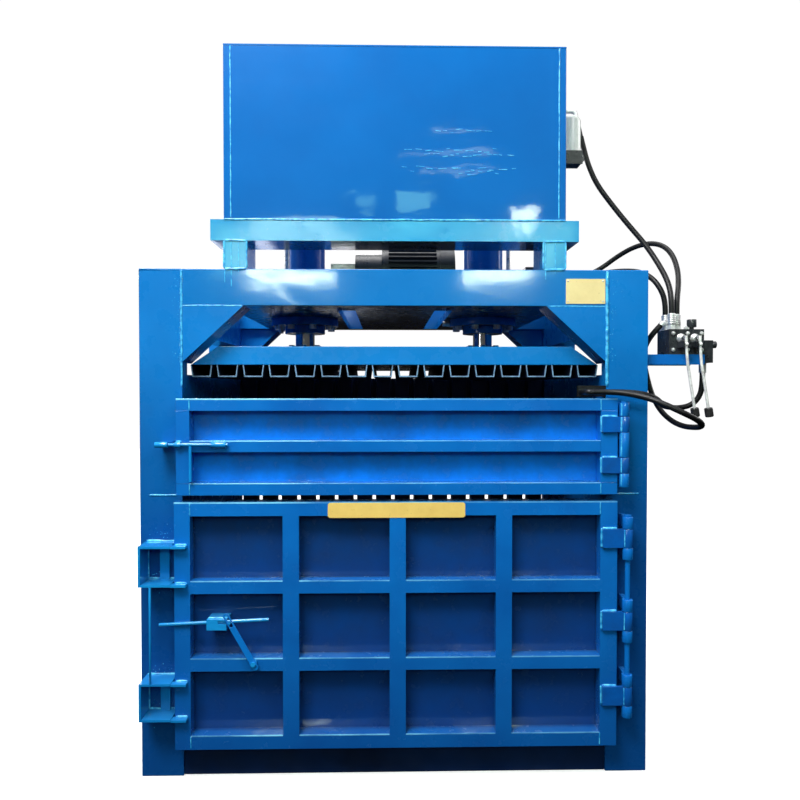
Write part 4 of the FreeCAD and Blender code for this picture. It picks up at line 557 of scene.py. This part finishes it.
# ---------------------------------------------------------------- hoses
HOSE_DIAMETER = 0.020
HOSES = {
    "return_hose": [
        (0.734, -0.225, 2.366), (0.746, -0.226, 2.315), (0.763, -0.231, 2.250), (0.792, -0.241, 2.177),
        (0.841, -0.256, 2.101), (0.903, -0.277, 2.012), (0.963, -0.308, 1.925), (0.999, -0.350, 1.840),
        (1.012, -0.404, 1.765), (1.012, -0.430, 1.700), (1.012, -0.430, 1.650)],
    "pump_hose": [
        (0.690, -0.060, 1.832), (0.740, -0.060, 1.832), (0.804, -0.058, 1.847), (0.868, -0.064, 1.878),
        (0.924, -0.090, 1.922), (0.980, -0.130, 1.955), (1.032, -0.180, 1.962), (1.068, -0.230, 1.938),
        (1.083, -0.278, 1.888), (1.080, -0.326, 1.822), (1.064, -0.368, 1.760), (1.044, -0.400, 1.704),
        (1.044, -0.400, 1.650)],
    "lift_hose": [
        (0.690, -0.120, 1.832), (0.740, -0.120, 1.832), (0.804, -0.130, 1.840), (0.864, -0.162, 1.846),
        (0.910, -0.222, 1.842), (0.948, -0.290, 1.827), (0.979, -0.338, 1.793), (1.002, -0.364, 1.744),
        (1.014, -0.370, 1.696), (1.014, -0.370, 1.650)],
    "press_hose": [
        (0.984, -0.400, 1.609), (0.959, -0.400, 1.584), (0.943, -0.377, 1.550), (0.948, -0.328, 1.516),
        (0.965, -0.293, 1.469), (0.981, -0.284, 1.412), (0.992, -0.302, 1.350), (1.006, -0.344, 1.293),
        (1.026, -0.402, 1.254), (1.042, -0.468, 1.238), (1.051, -0.531, 1.238), (1.048, -0.591, 1.243),
        (1.029, -0.645, 1.255), (0.991, -0.683, 1.274), (0.941, -0.693, 1.296), (0.893, -0.675, 1.321),
        (0.850, -0.641, 1.342), (0.808, -0.604, 1.355), (0.766, -0.576, 1.362), (0.724, -0.562, 1.363),
        (0.684, -0.562, 1.363)],
    "drain_hose": [
        (1.142, -0.400, 1.434), (1.142, -0.400, 1.390), (1.137, -0.392, 1.347), (1.111, -0.382, 1.313),
        (1.064, -0.380, 1.302), (1.014, -0.402, 1.306), (0.974, -0.448, 1.313), (0.944, -0.500, 1.328),
        (0.900, -0.544, 1.348), (0.838, -0.550, 1.361), (0.774, -0.530, 1.363), (0.716, -0.530, 1.363)],
}


def make_hose(name, points):
    """A smooth round hose along its route."""
    curve = bpy.data.curves.new(name + "_cover", "CURVE")
    curve.dimensions = "3D"
    curve.bevel_depth = HOSE_DIAMETER / 2
    curve.bevel_resolution = 5
    curve.resolution_u = 10
    curve.use_fill_caps = True
    spline = curve.splines.new("NURBS")
    spline.points.add(len(points) - 1)
    for slot, point in zip(spline.points, points):
        slot.co = (*point, 1.0)
    spline.order_u = 3
    spline.use_endpoint_u = True
    curve.materials.append(RUBBER)
    piece = bpy.data.objects.new(name + "_cover", curve)
    SCENE.collection.objects.link(piece)
    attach(piece, FRAME_BODY)
    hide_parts(name)


for hose_name, hose_points in HOSES.items():
    make_hose(hose_name, hose_points)


# ---------------------------------------------------------------- edges of the CAD pieces
def box_clamp(name, low, high):
    """A node group that keeps every point between two corners."""
    tree = bpy.data.node_groups.new(name, "GeometryNodeTree")
    tree.interface.new_socket("Geometry", in_out="INPUT", socket_type="NodeSocketGeometry")
    tree.interface.new_socket("Geometry", in_out="OUTPUT", socket_type="NodeSocketGeometry")
    start = tree.nodes.new("NodeGroupInput")
    end = tree.nodes.new("NodeGroupOutput")
    place = tree.nodes.new("GeometryNodeInputPosition").outputs[0]
    for operation, corner in (("MAXIMUM", low), ("MINIMUM", high)):
        limit = tree.nodes.new("ShaderNodeVectorMath")
        limit.operation = operation
        tree.links.new(place, limit.inputs[0])
        limit.inputs[1].default_value = corner
        place = limit.outputs[0]
    move = tree.nodes.new("GeometryNodeSetPosition")
    tree.links.new(start.outputs[0], move.inputs["Geometry"])
    tree.links.new(place, move.inputs["Position"])
    tree.links.new(move.outputs[0], end.inputs[0])
    return tree


ROLLED_EDGE = 0.003
GROUND_EDGE = 0.001
SHARP_FROM = 35.0
MERGE_DISTANCE = 0.00001
ROLLED = ("corner_posts", "top_beams", "tank_stand", "oil_tank", "upper_door", "lower_door", "platen_shell")
GROUND = ("base_frame", "corner_gussets", "latch_keepers", "lower_door_fittings", "upper_door_fittings",
          "hinge_brackets", "valve_shelf", "valve_block", "cylinder_flanges", "platen_channels",
          "floor_channels", "bolt_lever")


def soften(node_name, width):
    """Rounded edges on a CAD piece, kept in the piece's own box."""
    node = NODES[node_name]
    weld = node.modifiers.new("join", "WELD")
    weld.merge_threshold = MERGE_DISTANCE
    bevel = node.modifiers.new("edges", "BEVEL")
    bevel.width = width
    bevel.segments = 2
    bevel.limit_method = "ANGLE"
    bevel.angle_limit = math.radians(SHARP_FROM)
    bevel.use_clamp_overlap = True
    bevel.harden_normals = True
    keep = node.modifiers.new("keep", "NODES")
    keep.node_group = box_clamp(node_name + "_box", *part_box(node_name))


for node_name in ROLLED:
    soften(node_name, ROLLED_EDGE)
for node_name in GROUND:
    soften(node_name, GROUND_EDGE)


# ---------------------------------------------------------------- welds
FRONT = -0.500
DOOR_FRONT = -0.562
PROUD = 0.001
POST_INNER = 0.752
BEAM_BOTTOM = 1.667
FRAME_TOP = 1.796
STAND_TOP = 1.893
GUSSET_TIP = 0.540
LEG_EDGES = (0.523, 0.603)
LEDGE_TOP = 1.969
TANK_SEAM = 0.578
TANK_TOP = 2.574
SPATTER_EDGES = (0.757, 0.890)
SPATTER_CORNERS = 7
STRAP_EDGE = 0.770
PLATE_LEVELS = (0.234, 0.357, 0.697, 0.829)
PLATE_SEAMS = (-0.001, 0.009)
LOWER_STRAPS = (0.272, 0.5345, 0.823)
LOWER_STRAP_HEIGHT = 0.066
UPPER_STRAP_HEIGHT = 0.055
HINGE_Y = -0.566
UPPER_HINGE_X = 0.792
LOWER_HINGE_X = 0.806
UPPER_KNUCKLE_RADIUS = 0.017
LOWER_KNUCKLE_RADIUS = 0.018
UPPER_KNUCKLES = ((1.034, 1.081), (1.137, 1.223), (1.279, 1.326))
UPPER_STRAPS = ((1.082, 1.136), (1.224, 1.278))
LOWER_STRAP_SPANS = ((0.823, 0.888), (0.5345, 0.5995), (0.272, 0.337))
# Height, start and end of each wavy line in the paint on the tank's front.
TANK_SAGS = ((2.284, 0.14, 0.33), (2.217, 0.03, 0.36), (2.198, 0.10, 0.40), (2.150, 0.02, 0.20),
             (2.146, 0.20, 0.42), (2.136, 0.22, 0.36))


def bead_geometry(start, end, radius, vertices, faces, seed):
    """One run of weld: overlapping scallops with an uneven width and a rounded start and end."""
    start = Vector(start)
    end = Vector(end)
    direction = end - start
    length = direction.length
    direction.normalize()
    side, up = square_to(direction)
    pitch = radius * 0.62
    count = max(6, int(length / pitch))
    sides = 9
    first = len(vertices)
    for ring in range(count + 1):
        along = length * ring / count
        end_round = min(1.0, math.sqrt(max(0.0, min(along, length - along)) / radius + 0.02))
        wander = noise.noise(Vector((along * 38.0, seed * 3.1, 0.0)))
        ripple = 1.0 if ring % 2 else 0.83
        size = radius * end_round * ripple * (1.0 + 0.22 * wander)
        drift = side * radius * 0.3 * noise.noise(Vector((along * 21.0, 7.0, seed * 1.7)))
        for corner in range(sides):
            angle = 2 * math.pi * corner / sides
            lean = direction * radius * 0.5 * math.cos(angle) ** 2
            vertices.append(start + direction * along + drift + lean * end_round
                            + side * size * 1.15 * math.cos(angle) + up * size * 0.9 * math.sin(angle))
    faces += stack_faces(first, count + 1, sides)


def weld_piece(name, runs, body=FRAME_BODY):
    """All the weld runs of one group as one mesh."""
    vertices = []
    faces = []
    for seed, (start, end, radius) in enumerate(runs):
        bead_geometry(start, end, radius, vertices, faces, seed + len(name))
    return add_mesh(name, vertices, faces, WELD_BLUE_LIT, body)


def spatter(name, centres, reach, count):
    """Small beads of weld metal stuck to the posts around welds."""
    rng = random.Random(len(name) * 17 + count)
    vertices = []
    faces = []
    sides = SPATTER_CORNERS
    for centre in centres:
        for _ in range(count):
            place = Vector(centre) + Vector((rng.gauss(0.0, reach), 0.0, rng.gauss(0.0, reach)))
            place.x = math.copysign(min(max(abs(place.x), SPATTER_EDGES[0]), SPATTER_EDGES[1]), place.x)
            size = rng.uniform(0.0007, 0.0019)
            first = len(vertices)
            for across, out in ((1.0, 0.0), (0.85, 0.5), (0.45, 0.85)):
                for corner in range(sides):
                    angle = 2 * math.pi * corner / sides
                    vertices.append(place + Vector((size * across * math.cos(angle), -size * out,
                                                    size * across * math.sin(angle))))
            tip = len(vertices)
            vertices.append(place + Vector((0.0, -size, 0.0)))
            for ring in range(2):
                low = first + ring * sides
                for corner in range(sides):
                    after = (corner + 1) % sides
                    faces.append((low + corner, low + after, low + sides + after, low + sides + corner))
            last = tip - sides
            for corner in range(sides):
                faces.append((last + corner, last + (corner + 1) % sides, tip))
    return add_mesh(name, vertices, faces, WELD_BLUE_LIT, FRAME_BODY)


def level_run(x0, x1, y, z, radius):
    """A run along X."""
    return (x0, y, z), (x1, y, z), radius


def upright_run(x, y, z0, z1, radius):
    """A run along Z."""
    return (x, y, z0), (x, y, z1), radius


def frame_weld_runs():
    """Front seams of the portal: beams, gussets, posts and the stand."""
    runs = []
    for side in (-1, 1):
        post_bead = 0.0056 if side > 0 else 0.0036
        runs.append(upright_run(side * POST_INNER, FRONT, 1.382, FRAME_TOP - 0.004, post_bead))
        runs.append(level_run(side * POST_INNER, side * GUSSET_TIP, FRONT + PROUD, BEAM_BOTTOM, 0.0022))
        left, right = sorted((side * 0.772, side * 0.868))
        runs.append(level_run(left, right, FRONT, 1.000, 0.0030))
        for leg in LEG_EDGES:
            runs.append(upright_run(side * leg, FRONT, FRAME_TOP + 0.002, STAND_TOP, 0.0028))
        left, right = sorted((side * 0.526, side * 0.600))
        runs.append(level_run(left, right, FRONT, FRAME_TOP, 0.0048))
        runs.append(level_run(left, right, FRONT, STAND_TOP + 0.002, 0.0042))
        runs.append(upright_run(side * TANK_SEAM, FRONT, 1.975, TANK_TOP, 0.0022))
    runs.append(level_run(-LEG_EDGES[1], LEG_EDGES[1], FRONT, LEDGE_TOP, 0.0036))
    return runs


def door_weld_runs():
    """Seams between the rails and stiles of the bale door."""
    runs = []
    for x in STILE_EDGES:
        runs.append(upright_run(x, DOOR_FRONT, 0.130, 0.172, 0.0020))
        runs.append(upright_run(x, DOOR_FRONT, 0.938, 0.980, 0.0020))
    return runs


def latch_weld_runs():
    """Beads where the latch plates meet the left post, and along their webs."""
    seams = [z + seam for z in PLATE_LEVELS for seam in PLATE_SEAMS]
    runs = [level_run(-0.878, -0.774, FRONT, z, 0.0040) for z in seams]
    for low, high in ((0.242, 0.357), (0.705, 0.829)):
        runs.append(upright_run(-0.872, FRONT - PROUD, low, high, 0.0038))
    return runs


def latch_door_runs():
    """Beads on the latch plates, hinge straps and guide block of the bale door."""
    seams = [z + seam for z in PLATE_LEVELS for seam in PLATE_SEAMS]
    runs = [level_run(-0.760, -0.720, DOOR_FRONT, z, 0.0036) for z in seams]
    for low in LOWER_STRAPS:
        top = low + LOWER_STRAP_HEIGHT
        runs.append(upright_run(0.716, DOOR_FRONT - PROUD, low - PROUD, top, 0.0034))
        runs.append(level_run(0.718, STRAP_EDGE, DOOR_FRONT, top, 0.0040))
        runs.append(level_run(0.718, STRAP_EDGE, DOOR_FRONT, low - PROUD, 0.0030))
    runs.append(level_run(-0.649, -0.581, DOOR_FRONT, 0.584, 0.0036))
    return runs


def feed_door_runs():
    """Beads on the straps, sleeves and stiles of the feed door."""
    runs = []
    for low, _ in UPPER_STRAPS:
        top = low + UPPER_STRAP_HEIGHT
        runs.append(upright_run(0.713, DOOR_FRONT - PROUD, low - PROUD, top, 0.0034))
        runs.append(level_run(0.715, STRAP_EDGE, DOOR_FRONT, top, 0.0040))
    for x0, x1 in ((-0.755, -0.735), (-0.632, -0.582)):
        runs.append(level_run(x0, x1, DOOR_FRONT - PROUD, 1.193, 0.0036))
        runs.append(level_run(x0, x1, DOOR_FRONT - PROUD, 1.173, 0.0032))
    for x in STILE_EDGES:
        runs.append(upright_run(x, DOOR_FRONT, 1.010, 1.048, 0.0020))
        runs.append(upright_run(x, DOOR_FRONT, 1.300, 1.338, 0.0020))
    return runs


def knuckle_weld_runs(axis_x, radius, spans, bead=0.0034):
    """Heavy beads down the door side of hinge knuckles, one for each span of height."""
    x = axis_x - radius * 0.74
    y = HINGE_Y - radius * 0.60
    return [upright_run(x, y, low + 0.001, high - 0.001, bead) for low, high in spans]


def paint_runs():
    """Drips of paint down the stand's legs and over the beam below them: places in X, and their drops."""
    left_drops = ((0.600, 0.048), (0.577, 0.062), (0.552, 0.012))
    right_drops = ((0.531, 0.034), (0.566, 0.014))
    runs = []
    for side, drops in ((-1, left_drops), (1, right_drops)):
        for x, drop in drops:
            runs.append(upright_run(side * x, FRONT, STAND_TOP - 0.001, FRAME_TOP + 0.004, 0.0017))
            runs.append(upright_run(side * x, FRONT, FRAME_TOP - 0.004, FRAME_TOP - drop, 0.0019))
    return runs


def tank_sag_runs():
    """Short wavy sags in the paint on the right half of the tank's front, drawn in the lighter weld blue as
    painted glare lines.
    """
    rng = random.Random(7)
    runs = []
    for z, start, end in TANK_SAGS:
        x = start
        while x < end:
            length = rng.uniform(0.012, 0.034)
            tilt = rng.uniform(-0.003, 0.003)
            level = z + rng.gauss(0.0, 0.0035)
            runs.append(((x, FRONT, level), (x + length, FRONT, level + tilt), rng.uniform(0.0009, 0.0015)))
            x += length + rng.uniform(0.002, 0.020)
    return runs


weld_piece("portal_welds", frame_weld_runs())
weld_piece("bale_door_welds", door_weld_runs() + latch_door_runs()
           + knuckle_weld_runs(LOWER_HINGE_X, LOWER_KNUCKLE_RADIUS, LOWER_STRAP_SPANS, 0.0026), "bale_door")
weld_piece("feed_door_welds", feed_door_runs()
           + knuckle_weld_runs(UPPER_HINGE_X, UPPER_KNUCKLE_RADIUS, UPPER_STRAPS), "feed_door")
weld_piece("hinge_welds", knuckle_weld_runs(UPPER_HINGE_X, UPPER_KNUCKLE_RADIUS, UPPER_KNUCKLES))
weld_piece("stand_drips", paint_runs())
weld_piece("tank_sags", tank_sag_runs())
weld_piece("latch_welds", latch_weld_runs())
LATCH_SPATTER = [(-0.826, FRONT, z) for z in (0.22, 0.25, 0.345, 0.372, 0.685, 0.712, 0.818, 0.845)]
GUSSET_SPATTER = [(side * POST_INNER, FRONT, z) for side in (-1, 1) for z in (1.50, 1.58, 1.66, 1.74)]
spatter("latch_spatter", LATCH_SPATTER, reach=0.022, count=26)
spatter("gusset_spatter", GUSSET_SPATTER, reach=0.020, count=22)


# ---------------------------------------------------------------- plates
PLATE_THICKNESS = 0.0008
PLATE_CURL = 0.0006


def sheet_plate(name, corner, size, material, body):
    """Thin plate with rounded corners, lying a little unevenly on the face behind it."""
    x0, y, z0 = corner
    width, height = size
    round_radius = min(width, height) * 0.12
    columns = 48
    rows = 10
    grid = {}
    vertices = []
    faces = []
    for layer in (0, 1):
        for i in range(columns + 1):
            for j in range(rows + 1):
                u = i / columns
                v = j / rows
                px = x0 + width * u
                pz = z0 + height * v
                edge_z = min(pz - z0, z0 + height - pz)
                if edge_z < round_radius:
                    inset = round_radius - math.sqrt(round_radius ** 2 - (round_radius - edge_z) ** 2)
                    px = min(max(px, x0 + inset), x0 + width - inset)
                lift = PLATE_CURL * (0.5 + 0.5 * noise.noise(Vector((px * 9.0, pz * 22.0, 3.0))))
                out = y - (PLATE_THICKNESS + lift if layer else 0.0)
                grid[layer, i, j] = len(vertices)
                vertices.append((px, out, pz))
    for i in range(columns):
        for j in range(rows):
            faces.append((grid[1, i, j], grid[1, i + 1, j], grid[1, i + 1, j + 1], grid[1, i, j + 1]))
            faces.append((grid[0, i, j], grid[0, i, j + 1], grid[0, i + 1, j + 1], grid[0, i + 1, j]))
    for j in range(rows):
        faces.append((grid[0, 0, j], grid[1, 0, j], grid[1, 0, j + 1], grid[0, 0, j + 1]))
        faces.append((grid[0, columns, j], grid[0, columns, j + 1],
                      grid[1, columns, j + 1], grid[1, columns, j]))
    for i in range(columns):
        faces.append((grid[0, i, 0], grid[0, i + 1, 0], grid[1, i + 1, 0], grid[1, i, 0]))
        faces.append((grid[0, i, rows], grid[1, i, rows], grid[1, i + 1, rows], grid[0, i + 1, rows]))
    return add_mesh(name, vertices, faces, material, body, smooth=False)


def lathe(name, centre, axis, profile, count=28):
    """Zinc-plated round piece turned from a profile of (along, radius) steps."""
    axis = Vector(axis).normalized()
    side, up = square_to(axis)
    vertices = []
    for along, radius in profile:
        for corner in range(count):
            angle = 2 * math.pi * corner / count
            vertices.append(Vector(centre) + axis * along
                            + (side * math.cos(angle) + up * math.sin(angle)) * radius)
    return add_mesh(name, vertices, stack_faces(0, len(profile), count), ZINC, FRAME_BODY)


RIVET_SEAT = -0.5016
RIVET_PROFILE = ((0.0, 0.0036), (0.0009, 0.0034), (0.0016, 0.0026), (0.0020, 0.0012))
RIVET_PLACES = ((0.612, 1.684), (0.736, 1.684), (0.612, 1.756), (0.736, 1.756))
sheet_plate("caution_plate", (-0.235, DOOR_FRONT, 0.929), (0.475, 0.052), YELLOW, "bale_door")
for number, (x, z) in enumerate(RIVET_PLACES):
    lathe("plate_rivet_%d" % number, (x, RIVET_SEAT, z), (0, -1, 0), RIVET_PROFILE, count=16)


# ---------------------------------------------------------------- valve details
def nut(name, centre, axis, across, height):
    """Zinc-plated hexagon nut with chamfered corners and a domed screw end."""
    axis = Vector(axis).normalized()
    side, up = square_to(axis)
    vertices = []
    # Each level is its height, its share of the width, and whether it is a hexagon.
    levels = ((0.0, 0.94, True), (height * 0.12, 1.0, True), (height * 0.82, 1.0, True), (height, 0.90, True),
              (height, 0.55, False), (height * 1.35, 0.52, False), (height * 1.5, 0.36, False))
    count = 24
    sector = math.pi / 3
    for along, scale, hexagonal in levels:
        for corner in range(count):
            angle = 2 * math.pi * corner / count
            reach = across / 2
            if hexagonal:
                reach = across / 2 / math.cos((angle % sector) - sector / 2)
            vertices.append(Vector(centre) + axis * along
                            + (side * math.cos(angle) + up * math.sin(angle)) * reach * scale)
    faces = stack_faces(0, len(levels), count)
    return add_mesh(name, vertices, faces, ZINC, FRAME_BODY, smooth=False)


SEAT_GAP = 0.0002
VALVE_FRONT = -0.454
VALVE_TOP = 1.591
SPOOL_HEIGHT = 1.558
SEAL_PROFILE = ((0.0, 0.0150), (0.0015, 0.0165), (0.006, 0.0165), (0.008, 0.0150), (0.0085, 0.0132),
                (0.013, 0.0125), (0.0145, 0.0105))
for number, x in enumerate((1.008, 1.061, 1.112)):
    for level, z in enumerate((1.516, 1.576)):
        nut("valve_nut_%d_%d" % (number, level), (x, VALVE_FRONT + SEAT_GAP, z), (0, -1, 0), 0.013, 0.006)
for number, x in enumerate((1.036, 1.086)):
    lathe("spool_seal_%d" % number, (x, VALVE_FRONT + SEAT_GAP, SPOOL_HEIGHT), (0, -1, 0), SEAL_PROFILE)
for number, (x, y) in enumerate(((1.062, -0.372), (1.064, -0.436), (1.008, -0.348))):
    nut("valve_plug_%d" % number, (x, y, VALVE_TOP - SEAT_GAP), (0, 0, 1), 0.017, 0.009)


# ---------------------------------------------------------------- hose ends
CRIMP_LENGTH = 0.044
RIDGE_PITCH = 0.0085
SLEEVE_RADIUS = 0.0136
RIDGE_RADIUS = 0.0143
GROOVE_RADIUS = 0.0132


def crimped_end(name, centre, axis):
    """Crimped sleeve with ridges round a hose end."""
    profile = [(0.0, 0.0118), (0.0015, SLEEVE_RADIUS)]
    ridges = int(CRIMP_LENGTH / RIDGE_PITCH)
    step = (CRIMP_LENGTH - 0.006) / ridges
    for ridge in range(ridges):
        base = 0.003 + ridge * step
        profile += [(base, SLEEVE_RADIUS), (base + step * 0.25, RIDGE_RADIUS),
                    (base + step * 0.6, RIDGE_RADIUS), (base + step * 0.8, GROOVE_RADIUS)]
    profile += [(CRIMP_LENGTH - 0.0015, SLEEVE_RADIUS), (CRIMP_LENGTH, 0.0116)]
    lathe(name, centre, axis, profile)


for hose_name in ("return_hose", "pump_hose", "lift_hose"):
    x, y, z = HOSES[hose_name][-1]
    crimped_end(hose_name + "_crimp", (x, y, z + 0.0005), (0, 0, -1))


# ---------------------------------------------------------------- floor and light
WHITE = (1.0, 1.0, 1.0)
FLOOR_GLOW = 0.42
FLOOR_RADIUS = 14.0
BACKDROP = 1.02
# The sky's level by height: from the lowest direction to the highest, and its strength at each.
SKY = (("From Min", -0.05), ("From Max", 0.9), ("To Min", 0.008), ("To Max", 0.52))


def make_floor():
    """Pale floor with a faint cloudy sheen."""
    s = Shader("pale_floor")
    color = s.mix(s.span(s.noise(1.5, 3.0), 0.3, 0.7), rgb(0.80, 0.80, 0.80), rgb(0.83, 0.83, 0.83))
    s.constants(Emission_Color=(*WHITE, 1.0), Emission_Strength=FLOOR_GLOW)
    material = s.finish(color, s.span(s.noise(8.0), 0.3, 0.7, 0.7, 0.9))
    count = 64
    angles = [2 * math.pi * i / count for i in range(count)]
    ring = [(FLOOR_RADIUS * math.cos(angle), FLOOR_RADIUS * math.sin(angle), 0.0) for angle in angles]
    floor = add_mesh("floor", ring, [tuple(range(count))], material, None)
    floor.visible_diffuse = False
    floor.visible_glossy = False


def area_light(name, place, target, size, power, color):
    """Rectangular lamp that looks from its place to a target."""
    data = bpy.data.lights.new(name, "AREA")
    data.shape = "RECTANGLE"
    data.size = size[0]
    data.size_y = size[1]
    data.energy = power
    data.color = color
    lamp = bpy.data.objects.new(name, data)
    lamp.location = place
    lamp.rotation_euler = (Vector(target) - Vector(place)).to_track_quat("-Z", "Y").to_euler()
    SCENE.collection.objects.link(lamp)


def sun_light(name, tilt, strength, spread):
    """Soft sun tilted about X from straight above, in degrees."""
    data = bpy.data.lights.new(name, "SUN")
    data.energy = strength
    data.angle = math.radians(spread)
    lamp = bpy.data.objects.new(name, data)
    lamp.rotation_euler = (math.radians(tilt), 0.0, 0.0)
    SCENE.collection.objects.link(lamp)


def make_world():
    """White backdrop for the camera; grey sky that darkens downwards for light and gloss."""
    world = bpy.data.worlds.new("studio")
    world.use_nodes = True
    tree = world.node_tree
    background = tree.nodes["Background"]
    coordinates = tree.nodes.new("ShaderNodeTexCoord")
    split = tree.nodes.new("ShaderNodeSeparateXYZ")
    tree.links.new(coordinates.outputs["Generated"], split.inputs[0])
    rise = tree.nodes.new("ShaderNodeMapRange")
    for key, number in SKY:
        rise.inputs[key].default_value = number
    tree.links.new(split.outputs[2], rise.inputs["Value"])
    path = tree.nodes.new("ShaderNodeLightPath")
    level = tree.nodes.new("ShaderNodeMix")
    level.data_type = "FLOAT"
    tree.links.new(path.outputs["Is Camera Ray"], level.inputs[0])
    tree.links.new(rise.outputs[0], level.inputs[2])
    level.inputs[3].default_value = BACKDROP
    background.inputs["Color"].default_value = (*WHITE, 1.0)
    tree.links.new(level.outputs[0], background.inputs["Strength"])
    SCENE.world = world


make_floor()
make_world()
CYAN_LIGHT = (0.35, 1.0, 0.65)
PALE_LIGHT = (0.80, 1.0, 0.75)
BAND_Y = -4.8
# The narrow lamps at BAND_Y stand where the front's gloss mirrors them as the photograph's glare.
LAMPS = (
    ("key", (-1.7, -3.5, 5.4), (0.0, -0.4, 2.0), (2.0, 1.4), 270, WHITE),
    ("fill", (2.8, -4.2, 4.6), (0.3, -0.3, 1.8), (1.4, 1.4), 50, WHITE),
    ("edge_light", (-0.9, -1.7, 4.6), (0.0, -0.5, 1.0), (2.0, 0.5), 70, WHITE),
    ("ledge_band", (0.05, BAND_Y, 2.93), (0.0, -0.5, 1.93), (3.7, 0.16), 10, CYAN_LIGHT),
    ("ledge_patch", (-0.92, BAND_Y, 2.93), (-0.3, -0.5, 1.93), (1.0, 0.12), 5, PALE_LIGHT),
    ("beam_band_left", (-0.98, BAND_Y, 2.48), (-0.4, -0.5, 1.75), (0.80, 0.11), 19, PALE_LIGHT),
    ("beam_band_right", (1.07, BAND_Y, 2.49), (0.3, -0.5, 1.75), (0.62, 0.08), 12, PALE_LIGHT),
    ("tank_streak_0", (0.67, BAND_Y, 3.91), (0.2, -0.5, 2.2), (0.55, 0.02), 0.66, PALE_LIGHT),
    ("tank_streak_1", (0.60, BAND_Y, 3.69), (0.2, -0.5, 2.2), (0.95, 0.02), 1.14, PALE_LIGHT),
    ("tank_streak_2", (0.68, BAND_Y, 3.52), (0.2, -0.5, 2.2), (0.80, 0.02), 0.96, PALE_LIGHT),
    ("tank_spot_left", (-0.25, BAND_Y, 3.20), (-0.1, -0.5, 2.03), (0.15, 0.10), 0.5, CYAN_LIGHT),
    ("tank_spot_mid", (0.22, BAND_Y, 3.20), (0.0, -0.5, 2.03), (0.34, 0.16), 2.6, CYAN_LIGHT),
    ("tank_spot_right", (1.33, BAND_Y, 3.11), (0.45, -0.5, 2.0), (0.24, 0.07), 4.5, PALE_LIGHT),
    ("leg_band_left", (-1.6, BAND_Y, 2.68), (-0.56, -0.5, 1.85), (0.24, 0.30), 2.2, CYAN_LIGHT),
    ("leg_band_right", (1.6, BAND_Y, 2.68), (0.56, -0.5, 1.85), (0.24, 0.30), 2.2, CYAN_LIGHT),
    ("glint", (-3.0, -4.0, 1.7), (-0.7, -0.5, 0.9), (0.4, 0.9), 12, WHITE),
    ("rear", (-1.5, 5.0, 4.0), (0.0, 0.0, 1.2), (3.0, 3.0), 150, WHITE),
    ("left", (-4.6, 0.4, 3.0), (-0.8, 0.0, 1.2), (2.0, 2.0), 60, WHITE),
    ("right", (4.8, 0.6, 3.2), (0.8, 0.0, 1.2), (2.0, 2.0), 60, WHITE),
)
for lamp in LAMPS:
    area_light(*lamp)
sun_light("above", tilt=-8.0, strength=1.7, spread=40.0)
SCENE.view_settings.view_transform = "Standard"
